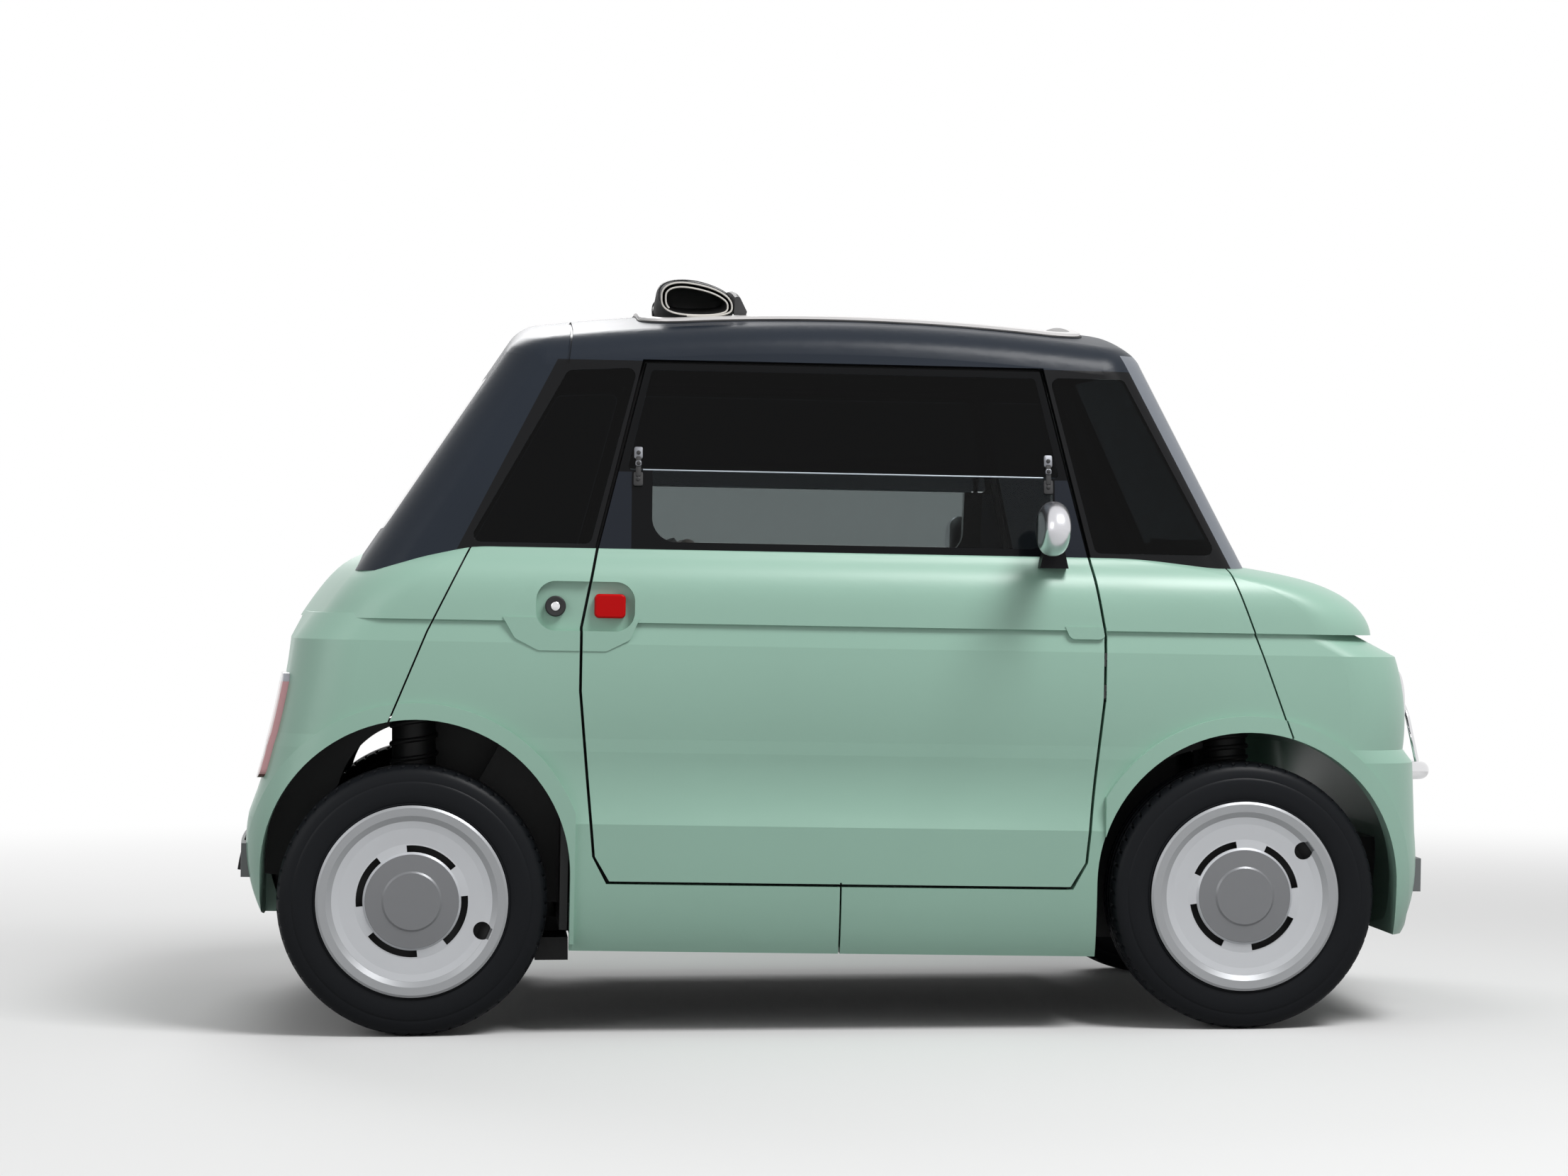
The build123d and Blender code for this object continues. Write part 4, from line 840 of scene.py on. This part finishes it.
def pad_shape(long, wide, thick, count=26):
    """Crowned cushion round the origin: sides pull in between its corners. Metres."""
    points, faces = [], []
    shares = [sin(value * pi / 2) for value in spread(-1, 1, count)]
    for face in (1, -1):
        for u in shares:
            for v in shares:
                pull_u = 1 - 0.035 * cos(v * pi / 2)
                pull_v = 1 - 0.03 * cos(u * pi / 2)
                edge = max(0.0, (1 - abs(u) ** 6) * (1 - abs(v) ** 6)) ** 0.42
                place = (long / 2 * u * pull_u, wide / 2 * v * pull_v, face * thick / 2 * edge)
                points.append(Vector(place))
        faces += sheet_faces(count, count, 0 if face > 0 else (count + 1) ** 2)
    return points, faces


def puffed_mesh(name, points, faces, cap):
    """Cover drawn over foam: remeshed, blown up a little by the cloth solver, movement capped."""
    holder = add_object(name, solid_mesh(name, points, faces, merge=0.00005))
    grid = holder.modifiers.new("grid", "REMESH")
    grid.mode = "VOXEL"
    grid.voxel_size = COVER_GRID
    even = fresh_mesh(holder)
    holder.modifiers.clear()
    holder.data = even
    rest = [vertex.co.copy() for vertex in even.vertices]
    cloth = holder.modifiers.new("cloth", "CLOTH")
    cloth.settings.quality = 4
    cloth.settings.mass = 0.3
    cloth.settings.use_pressure = True
    cloth.settings.uniform_pressure_force = 4
    cloth.settings.effector_weights.gravity = 0
    for step in range(1, PUFF_FRAMES + 1):
        bpy.context.scene.frame_set(step)
    blown = fresh_mesh(holder)
    holder.modifiers.clear()
    for vertex, before in zip(blown.vertices, rest):
        move = vertex.co - before
        if move.length > cap:
            vertex.co = before + move * (cap / move.length)
    holder.data = blown
    bpy.context.scene.frame_set(1)
    finer = holder.modifiers.new("finer", "SUBSURF")
    finer.levels = finer.render_levels = 1
    smooth = fresh_mesh(holder)
    holder.modifiers.clear()
    bpy.data.objects.remove(holder)
    return smooth


def sew_channels(mesh, depth):
    """Presses sewn channels into a pad, deeper on its outer face."""
    for vertex in mesh.vertices:
        press = sum(1 / (1 + ((vertex.co.y - line) / CHANNEL_WIDTH) ** 4) for line in CHANNELS)
        vertex.co.z -= depth * min(1, press) * (1 if vertex.co.z > 0 else -0.4)


def seat_place(x, y, z, *turns):
    """Place of a pad in the level body, in millimetres, after its turns."""
    place = Matrix.Translation(Vector((x, y, z)) / 1000)
    for angle, axis in turns:
        place = place @ Matrix.Rotation(angle, 4, axis)
    return place


def make_seats():
    """Two seats: dark shells with a channelled cushion, back pad and head pad each."""
    cushion = puffed_mesh("cushion", *pad_shape(0.395, 0.41, 0.058), cap=0.012)
    sew_channels(cushion, 0.006)
    back = puffed_mesh("back", *pad_shape(0.40, 0.40, 0.05), cap=0.010)
    sew_channels(back, 0.005)
    head = puffed_mesh("head", *pad_shape(0.13, 0.26, 0.045), cap=0.008)
    upright = ((pi / 2 - BACK_LEAN, "Y"), (pi, "X"))
    for person, (shift, out) in SEAT_PLACES.items():
        places = {
            "cushion": (cushion, seat_place(52 + shift, out, 442, (radians(-3), "Y"))),
            "back_pad": (back, seat_place(-186 + shift, out, 690, *upright)),
            "head_pad": (head, seat_place(-262 + shift, out, 968, *upright)),
        }
        for part, (mesh, place) in places.items():
            own = mesh.copy()
            own.transform(LEVEL @ place)
            own.shade_smooth()
            own.materials.clear()
            own.materials.append(SEAT_CLOTH)
            piece = add_object(f"seat_{person}_{part}", own)
            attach(piece, "body")
        shell = make_seat_shell(person, shift, out)
        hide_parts(f"seat_{person}")


def make_seat_shell(person, shift, out):
    """Moulded tray under the cushion that turns up behind the back pad."""
    points = []
    rows = 14
    for share in spread(-1, 1, rows):
        y = out + SHELL_HALF * sin(share * pi / 2)
        edge = 1 - 0.35 * abs(share) ** 8
        for x, z in SHELL_LINE:
            if z >= SHELL_CORNER_Z:
                z = SHELL_CORNER_Z + (z - SHELL_CORNER_Z) * edge
            points.append(Vector((x + shift, y, z)) / 1000)
    faces = loft_faces(rows + 1, len(SHELL_LINE))
    return make_piece(f"seat_{person}_shell", points, faces, SHELL_GREY, "body", "seat", level=True)


# Window hinges, locks and springs. Places in level millimetres, sections in metres.

OUTWARD = {"right": -1, "left": 1}
# Forward place that the doors, one part for both sides, are turned half round about
TURN_X = 12
# Places of the hinges along the right door. Their plates: height, width, length, thickness, whether
# bright, whether screwed.
HINGE_X = (-418, 441)
HINGE_PLATES = [
    (1194, 18, 26, 5, True, True),
    (1165, 11, 44, 7, False, False),
    (1139, 20, 30, 6, False, True),
    (1171, 13, 12, 9, True, True),
]
HINGE_SCREW = [(0, 0), (0, 0.0045), (0.0016, 0.0043), (0.0022, 0.003), (0.0022, 0)]
# Right lock: forward place, distance outward, height
LOCK = (-586, 674.3, 873)
LOCK_RING = [
    (-0.004, 0), (-0.004, 0.0215), (0.002, 0.0215), (0.0042, 0.019), (0.0032, 0.0105),
    (0.001, 0.0098), (0.001, 0),
]
LOCK_BARREL = [(0.0005, 0), (0.0005, 0.0095), (0.0035, 0.009), (0.0045, 0.0075), (0.0045, 0)]
# Springs in metres: radius of the coil and of its wire, turns, and ends as (distance outward, height).
# A front coil covers this span of its strut.
COIL_RADIUS = 0.0465
COIL_WIRE = 0.0055
FRONT_TURNS = 5
FRONT_STRUT = ((0.470, 0.380), (0.440, 0.700))
FRONT_SPAN = (0.5, 0.86)
REAR_TURNS = 6
REAR_SPRING = ((0.440, 0.425), (0.440, 0.655))


def on_side(x, out):
    """Forward place, on one side, of a thing that stands at x on the right."""
    return x if out < 0 else 2 * TURN_X - x


def make_window_hinges(side):
    """Two hinges that carry a door's flip pane: bright and dark plates with dark screws."""
    out = OUTWARD[side]
    bright, dark = [], []
    for right_x in HINGE_X:
        x = on_side(right_x, out)
        for z, wide, tall, thick, is_bright, screwed in HINGE_PLATES:
            base = level_point(x, out * (cab_side(x, z) + 0.2), z)
            along = (level_point(x + 10, out * cab_side(x + 10, z), z) - base).normalized()
            up = (level_point(x, out * cab_side(x, z + 10), z + 10) - base).normalized()
            normal = along.cross(up)
            normal *= -1 if normal.y * out < 0 else 1
            outline = [base + (along * a + up * b) / 1000 for a, b in rounded_outline(wide, tall, 4)]
            holder = bright if is_bright else dark
            holder.append(plate(outline, thick / 1000, normal, bevel=0.0015))
            if screwed:
                dark.append(lathed(HINGE_SCREW, base + normal * thick / 1000, normal, around=20))
    make_piece(f"window_hinges_bright_{side}", *joined(bright), DULL_STEEL, f"door_{side}", "chrome")
    make_piece(f"window_hinges_dark_{side}", *joined(dark), TRIM_BLACK, f"door_{side}", "trim")


def make_locks():
    """Black ring and silver barrel of the lock in the panel beside each door."""
    x, y, z = LOCK
    rings, barrels = [], []
    for out in OUTWARD.values():
        face = level_point(on_side(x, out), out * y, z)
        normal = Vector((0, out, 0))
        rings.append(lathed(LOCK_RING, face, normal))
        barrels.append(lathed(LOCK_BARREL, face, normal))
    make_piece("lock_rings", *joined(rings), TRIM_BLACK, "body", "trim")
    make_piece("lock_barrels", *joined(barrels), CHROME, "body", "chrome")


def coil(foot, top, turns, around=10, steps=22):
    """Coil spring between two points."""
    along = top - foot
    side = along.orthogonal().normalized()
    up = along.normalized().cross(side)
    line = []
    for step in range(int(turns * steps) + 1):
        angle = 2 * pi * step / steps
        share = step / (turns * steps)
        line.append(foot + along * share + (side * cos(angle) + up * sin(angle)) * COIL_RADIUS)
    return swept(line, COIL_WIRE, around=around)


def make_springs():
    """Coils over the front struts and the rear dampers."""
    rear = []
    for side, out in OUTWARD.items():
        low, high = [Vector((AXLE_X + BODY_SHIFT, out * y, z)) for y, z in FRONT_STRUT]
        spring = coil(*[low.lerp(high, share) for share in FRONT_SPAN], FRONT_TURNS)
        make_piece(f"spring_front_{side}", *spring, CHASSIS_BLACK, f"knuckle_{side}", "chassis", angle=80)
        rear.append(coil(*[Vector((BODY_SHIFT - AXLE_X, out * y, z)) for y, z in REAR_SPRING], REAR_TURNS))
    make_piece("springs_rear", *joined(rear), CHASSIS_BLACK, "body", "chassis", angle=80)


# Rubber seals and light lines. Places in level millimetres, radii in metres.

# Lower body's side: height and distance outward
BODY_SIDE = [
    (160, 670), (225, 686), (320, 692), (427, 693), (500, 676), (575, 678), (602, 680), (700, 688),
    (797, 688), (842, 690), (887, 688), (928, 681), (961, 664), (984, 647), (994, 638),
]
BELT = 994
# How far in the inside of the side wall lies, below the belt and above it
WALL_BELOW = 44
WALL_ABOVE = 30
# Front half of a door's outline, from the sill up, about TURN_X
DOOR_OUTLINE = [(482, 307), (511, 360), (544, 700), (544, 830), (513, 994), (417, 1387)]
PANEL_SEAMS = [
    [(954, 640), (877, 826), (820, 975), (804, 985)],
    [(-921, 645), (-848, 817), (-769, 979), (-755, 988)],
]
DOOR_SEAL = 0.0068
SEAM_STRIP = 0.006
# Light edge of the upper pane: ends on the right door, split below it, lift over the split, depth, radius
PANE_ENDS = (-408, 431)
PANE_SPLIT = 1158.6
PANE_EDGE_LIFT = 1.1
PANE_EDGE_DEPTH = 1.2
PANE_EDGE_RADIUS = 0.0017
PANE_EDGE_STEPS = 24


def body_side(z):
    """How far out the lower body's side stands at a height."""
    for (low_z, low_y), (high_z, high_y) in zip(BODY_SIDE, BODY_SIDE[1:]):
        if z <= high_z:
            return low_y + (high_y - low_y) * max(0, z - low_z) / (high_z - low_z)
    return BODY_SIDE[-1][1]


def inner_face(x, z):
    """How far out the inside of the side wall stands."""
    return body_side(z) - WALL_BELOW if z < BELT else cab_side(x, z) - WALL_ABOVE


def seam_path(points, out, step=25, behind=7):
    """Points along a seam, just behind the panels it parts."""
    path = []
    for (x0, z0), (x1, z1) in zip(points, points[1:]):
        count = max(1, round(hypot(x1 - x0, z1 - z0) / step))
        for at in range(count):
            x, z = x0 + (x1 - x0) * at / count, z0 + (z1 - z0) * at / count
            path.append(level_point(x, out * (inner_face(x, z) - behind), z))
    x, z = points[-1]
    path.append(level_point(x, out * (inner_face(x, z) - behind), z))
    return path


def make_seals():
    """Bulb seals behind the door edges and strips behind the panel seams."""
    ahead = [(TURN_X + x, z) for x, z in DOOR_OUTLINE]
    behind = [(TURN_X - x, z) for x, z in reversed(DOOR_OUTLINE)]
    tubes = []
    for out in OUTWARD.values():
        loop = seam_path(ahead + behind + ahead[:1], out)[:-1]
        tubes.append(swept(loop, DOOR_SEAL, around=10, closed=True))
        tubes += [swept(seam_path(seam, out), SEAM_STRIP, around=8) for seam in PANEL_SEAMS]
    make_piece("door_and_panel_seals", *joined(tubes), TRIM_BLACK, "body", "trim", angle=60)


def make_pane_edge(side):
    """Light lower edge of a door's upper pane, along the split."""
    out = OUTWARD[side]
    start, end = sorted(on_side(x, out) for x in PANE_ENDS)
    line = []
    for x in spread(start, end, PANE_EDGE_STEPS):
        y = out * (cab_side(x, PANE_SPLIT) - PANE_EDGE_DEPTH)
        line.append(level_point(x, y, PANE_SPLIT + PANE_EDGE_LIFT))
    edge = swept(line, PANE_EDGE_RADIUS, around=8)
    make_piece(f"pane_edge_{side}", *edge, LIGHT_LINE, f"door_{side}", "chrome", angle=60)


# Dashboard and steering wheel. Places and sections in level millimetres.

# How much a bar's section shrinks at its ends
END_SHRINK = 0.16
DASH_SECTION = [
    (774, 708), (700, 707.5), (560, 707.5), (440, 708), (428, 712), (408, 770), (402, 826),
    (404, 842), (412, 856), (424, 905), (432, 918), (446, 925), (520, 931), (640, 935),
    (700, 935), (750, 916), (772, 900),
]
DASH_HALF = 578
POD_SECTION = [(418, 905), (420, 955), (430, 972), (470, 978), (500, 968), (520, 932), (470, 922)]
POD_HALF = 105
POD_Y = 300
# Vents: places across the car, and of a frame and its lowest fin the forward place and height; their
# widths, heights and corner radii
VENT_Y = (-470, -60, 470)
VENT_FRAME = (403.5, 800)
VENT_OUTLINE = (120, 44, 18)
VENT_FIN = (396.5, 786)
FIN_OUTLINE = (104, 3, 1.4)
FINS = 5
FIN_STEP = 7
# Steering wheel in metres: rim, boss as distance along the axis and radius, spokes
WHEEL_MIDDLE = Vector((230, 300, 850)) / 1000
WHEEL_RAKE = radians(25)
GRIP_REACH = 0.175
GRIP_RADIUS = 0.0135
BOSS = [
    (-0.03, 0), (-0.03, 0.034), (-0.022, 0.043), (-0.004, 0.052), (0.003, 0.05),
    (0.007, 0.036), (0.0085, 0),
]
SPOKE_FROM = 0.04
SPOKE_LONG = 0.128
SPOKE_SINK = 0.004
SPOKE_RADIUS = 0.019
SPOKE_SQUASH = 0.36


def profile_bar(section, half, stations=24):
    """Bar of one section run across the car; its ends round off inwards."""
    points = []
    middle_x = sum(x for x, _ in section) / len(section)
    middle_z = sum(z for _, z in section) / len(section)
    for turn in spread(-pi / 2, pi / 2, stations):
        share = sin(turn)
        ease = 1 - END_SHRINK * abs(share) ** 10
        for x, z in section:
            place = (middle_x + (x - middle_x) * ease, half * share, middle_z + (z - middle_z) * ease)
            points.append(Vector(place) / 1000)
    return points, loft_faces(stations + 1, len(section))


def facing_back(x, y, z, outline, thick, bevel):
    """Plate of an outline that faces the rear of the car; thickness and bevel in metres."""
    middle = level_point(x, y, z)
    corners = [middle + Vector((0, across, up)) / 1000 for across, up in outline]
    return plate(corners, thick, Vector((-1, 0, 0)), bevel=bevel)


def make_dashboard():
    """Soft-edged dash with three vents and an instrument pod."""
    bar = profile_bar(DASH_SECTION, DASH_HALF)
    dash = make_piece("dashboard_moulding", *bar, TRIM_BLACK, "body", "trim", angle=30, level=True)
    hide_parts("dashboard")
    vents = []
    for y in VENT_Y:
        x, z = VENT_FRAME
        vents.append(facing_back(x, y, z, rounded_outline(*VENT_OUTLINE), 0.006, 0.002))
        x, z = VENT_FIN
        for fin in range(FINS):
            outline = rounded_outline(*FIN_OUTLINE, steps=2)
            vents.append(facing_back(x, y, z + fin * FIN_STEP, outline, 0.004, 0.001))
    make_piece("dashboard_vents", *joined(vents), SHELL_GREY, "body", "trim")
    points, faces = profile_bar(POD_SECTION, POD_HALF, stations=12)
    points = [point + Vector((0, POD_Y, 0)) / 1000 for point in points]
    make_piece("instrument_pod", points, faces, TRIM_BLACK, "body", "trim", angle=30, level=True)


def make_steering_wheel():
    """Padded rim with two spokes and a round boss."""
    axis = Vector((-cos(WHEEL_RAKE), 0, sin(WHEEL_RAKE)))
    side = Vector((0, 1, 0))
    up = axis.cross(side)
    ring = []
    for at in range(72):
        angle = 2 * pi * at / 72
        ring.append(WHEEL_MIDDLE + (side * cos(angle) + up * sin(angle)) * GRIP_REACH)
    parts = [swept(ring, GRIP_RADIUS, around=14, closed=True), lathed(BOSS, WHEEL_MIDDLE, axis, around=40)]
    for way in (-1, 1):
        spoke = []
        for share in spread(0, 1, 8):
            reach = way * (SPOKE_FROM + SPOKE_LONG * share)
            spoke.append(WHEEL_MIDDLE + side * reach - axis * (SPOKE_SINK * (1 - share)))
        parts.append(swept(spoke, SPOKE_RADIUS, around=14, squash=SPOKE_SQUASH))
    points, faces = joined(parts)
    wheel = make_piece(
        "steering_wheel_moulding", points, faces, TRIM_BLACK, "steering_wheel", "trim", angle=40, level=True
    )
    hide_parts("steering_wheel")


# Headlamps

HEADLAMPS = [(1226, -430, 690), (1226, 430, 690)]
# Sections of a lamp, as distance forward of its face and radius, in metres
LAMP_BOWL = [
    (-0.072, 0), (-0.072, 0.05), (-0.03, 0.0692), (-0.0005, 0.0696), (-0.0005, 0.066),
    (-0.01, 0.061), (-0.024, 0.046), (-0.028, 0.034), (-0.028, 0),
]
LAMP_RIM = [
    (-0.004, 0.0662), (0.0035, 0.0662), (0.0065, 0.0685), (0.0075, 0.0725), (0.006, 0.0765),
    (-0.002, 0.0785), (-0.022, 0.0785),
]
LAMP_BARREL = [
    (-0.028, 0), (-0.028, 0.033), (-0.010, 0.031), (-0.008, 0.0285), (-0.010, 0.0265), (-0.012, 0),
]
LAMP_DOME = [
    (-0.0115, 0), (-0.0115, 0.026), (-0.006, 0.024), (-0.0015, 0.018), (0.0012, 0.010), (0.002, 0),
]
LAMP_RING = [(-0.016, 0.050), (-0.010, 0.0505), (-0.0085, 0.053), (-0.010, 0.0555), (-0.014, 0.0565)]
LAMP_GLASS = [(0.0018, 0), (0.0015, 0.03), (0.0002, 0.0655), (0.002, 0.066), (0.0042, 0.03), (0.0046, 0)]
LAMP_AROUND = 64


def lathed_ring(section, centre, axis, around):
    """Turned ring whose section closes on itself away from the axis."""
    points, faces = lathed(section, centre, axis, around)
    last = (len(section) - 1) * around
    faces += [(at, (at + 1) % around, last + (at + 1) % around, last + at) for at in range(around)]
    return points, faces


def make_headlamps():
    """Round lamps: bright rim, bowl with a light ring and a projector, clear cover in front."""
    forward = (level_point(1, 0, 0) - level_point(0, 0, 0)).normalized()
    bowls, rims, barrels, rings, covers = [], [], [], [], []
    for place in HEADLAMPS:
        turned = (level_point(*place), forward, LAMP_AROUND)
        bowls.append(lathed(LAMP_BOWL, *turned))
        rims.append(lathed_ring(LAMP_RIM, *turned))
        barrels.append(lathed(LAMP_BARREL, *turned))
        rings.append(lathed_ring(LAMP_RING, *turned))
        covers += [lathed(LAMP_DOME, *turned), lathed(LAMP_GLASS, *turned)]
    bowl = make_piece("headlamp_bowls", *joined(bowls), DULL_STEEL, "body", "lamp")
    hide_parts("headlamps")
    make_piece("headlamp_rims", *joined(rims), CHROME, "body", "chrome")
    make_piece("headlamp_barrels", *joined(barrels), TRIM_BLACK, "body", "lamp")
    make_piece("headlamp_rings", *joined(rings), LAMP_WHITE, "body", "lamp")
    make_piece("headlamp_glass", *joined(covers), LAMP_COVER, "body", "lamp", angle=50)


# Wheel house edges and the seal under the roof rim

# Strips inside the arches, in metres: distance outward, thickness, and the inner radii over the rear
# wheel and over the front one. Behind the rear wheel the inner radius shrinks along the strip.
STRIP_Y = 0.45
STRIP_THICK = 0.003
REAR_INNER = 0.256
FRONT_INNER = 0.302
TAIL_INNER = 0.359
TAIL_SHRINK = 0.083
# Roof rim seal in level millimetres: middle, length, width and corner radius, height in the middle
RIM_MIDDLE = 65
RIM_OUTLINE = (957, 857, 93)
RIM_SEAL_Z = 1531.2
RIM_SEAL_RADIUS = 0.0032


def tail_inner(share):
    """Inner radius of the strip behind the rear wheel, at a share of its span."""
    return TAIL_INNER - TAIL_SHRINK * min(1, max(0, share * 2.48 - 0.06)) ** 1.7


def arch_strip(centre_x, y, span, inner, outer, steps=48):
    """Flat strip round part of a wheel arch; inner gives its inner radius at a share of the span."""
    points = []
    for share in spread(0, 1, steps):
        angle = radians(span[0] + (span[1] - span[0]) * share)
        near = inner(share)
        for radius, side in ((near, -0.5), (near, 0.5), (outer, 0.5), (outer, -0.5)):
            x, z = centre_x + radius * cos(angle), HUB_Z + radius * sin(angle)
            points.append(Vector((x, y + side * STRIP_THICK, z)))
    return points, loft_faces(steps + 1, 4)


def make_wheel_house_edges():
    """Dark strips inside the arches that close them to the body behind."""
    front_x, rear_x = AXLE_X + BODY_SHIFT, BODY_SHIFT - AXLE_X
    parts = []
    for y in (-STRIP_Y, STRIP_Y):
        parts.append(arch_strip(rear_x, y, (90, 172), tail_inner, 0.372))
        parts.append(arch_strip(rear_x, y, (-4, 60), lambda share: REAR_INNER, 0.376))
        parts.append(arch_strip(front_x, y, (84, 128), lambda share: FRONT_INNER, 0.335))
    make_piece("wheel_house_edges", *joined(parts), TRIM_BLACK, "body", "trim")


def make_rim_seal():
    """Black rubber under the outer edge of the roof's light rim."""
    line = [(RIM_MIDDLE + x, y) for x, y in rounded_outline(*RIM_OUTLINE, steps=12)]
    path = []
    for at, (x0, y0) in enumerate(line):
        x1, y1 = line[(at + 1) % len(line)]
        pieces = max(1, round(hypot(x1 - x0, y1 - y0) / 40))
        for piece in range(pieces):
            x, y = x0 + (x1 - x0) * piece / pieces, y0 + (y1 - y0) * piece / pieces
            path.append(level_point(x, y, RIM_SEAL_Z - x**2 / 9800 - y**2 / 4500))
    seal = swept(path, RIM_SEAL_RADIUS, around=10, closed=True)
    make_piece("roof_rim_seal", *seal, TRIM_BLACK, "body", "trim", angle=60)


# Wiper. Places in level millimetres, section and radii in metres.

WIPER_FOOT = (897, -60, 1000)
WIPER_CAP = [(-0.01, 0), (-0.01, 0.016), (0.008, 0.015), (0.014, 0.011), (0.016, 0)]
WIPER_ARM = [(897, -60, 1012), (894, -30, 1020), (889, 50, 1032), (884, 150, 1042), (879, 250, 1049)]
BLADE_ENDS = (30, 460)


def make_wiper():
    """Single wiper parked along the foot of the windscreen."""
    cap = lathed(WIPER_CAP, level_point(*WIPER_FOOT), Vector((0.45, 0, 0.89)), around=28)
    arm = swept([level_point(*place) for place in WIPER_ARM], 0.006, around=10, squash=0.6)
    blade = []
    for y in spread(*BLADE_ENDS, 24):
        blade.append(level_point(873.5 - 30 * (y / 632) ** 2 - 0.012 * y, y, 1037 + 0.03 * y))
    blade = swept(blade, 0.0055, around=8)
    make_piece("wiper", *joined([cap, arm, blade]), TRIM_BLACK, "body", "trim", angle=50)


place_camera()
light_studio()
lay_floor()
dress_nodes()
for corner in CORNERS:
    make_tyre(corner)
make_canvas_roll()
make_seats()
for side in SIDES:
    make_window_hinges(side)
    make_pane_edge(side)
make_locks()
make_springs()
make_seals()
make_dashboard()
make_steering_wheel()
make_headlamps()
make_wheel_house_edges()
make_rim_seal()
make_wiper()
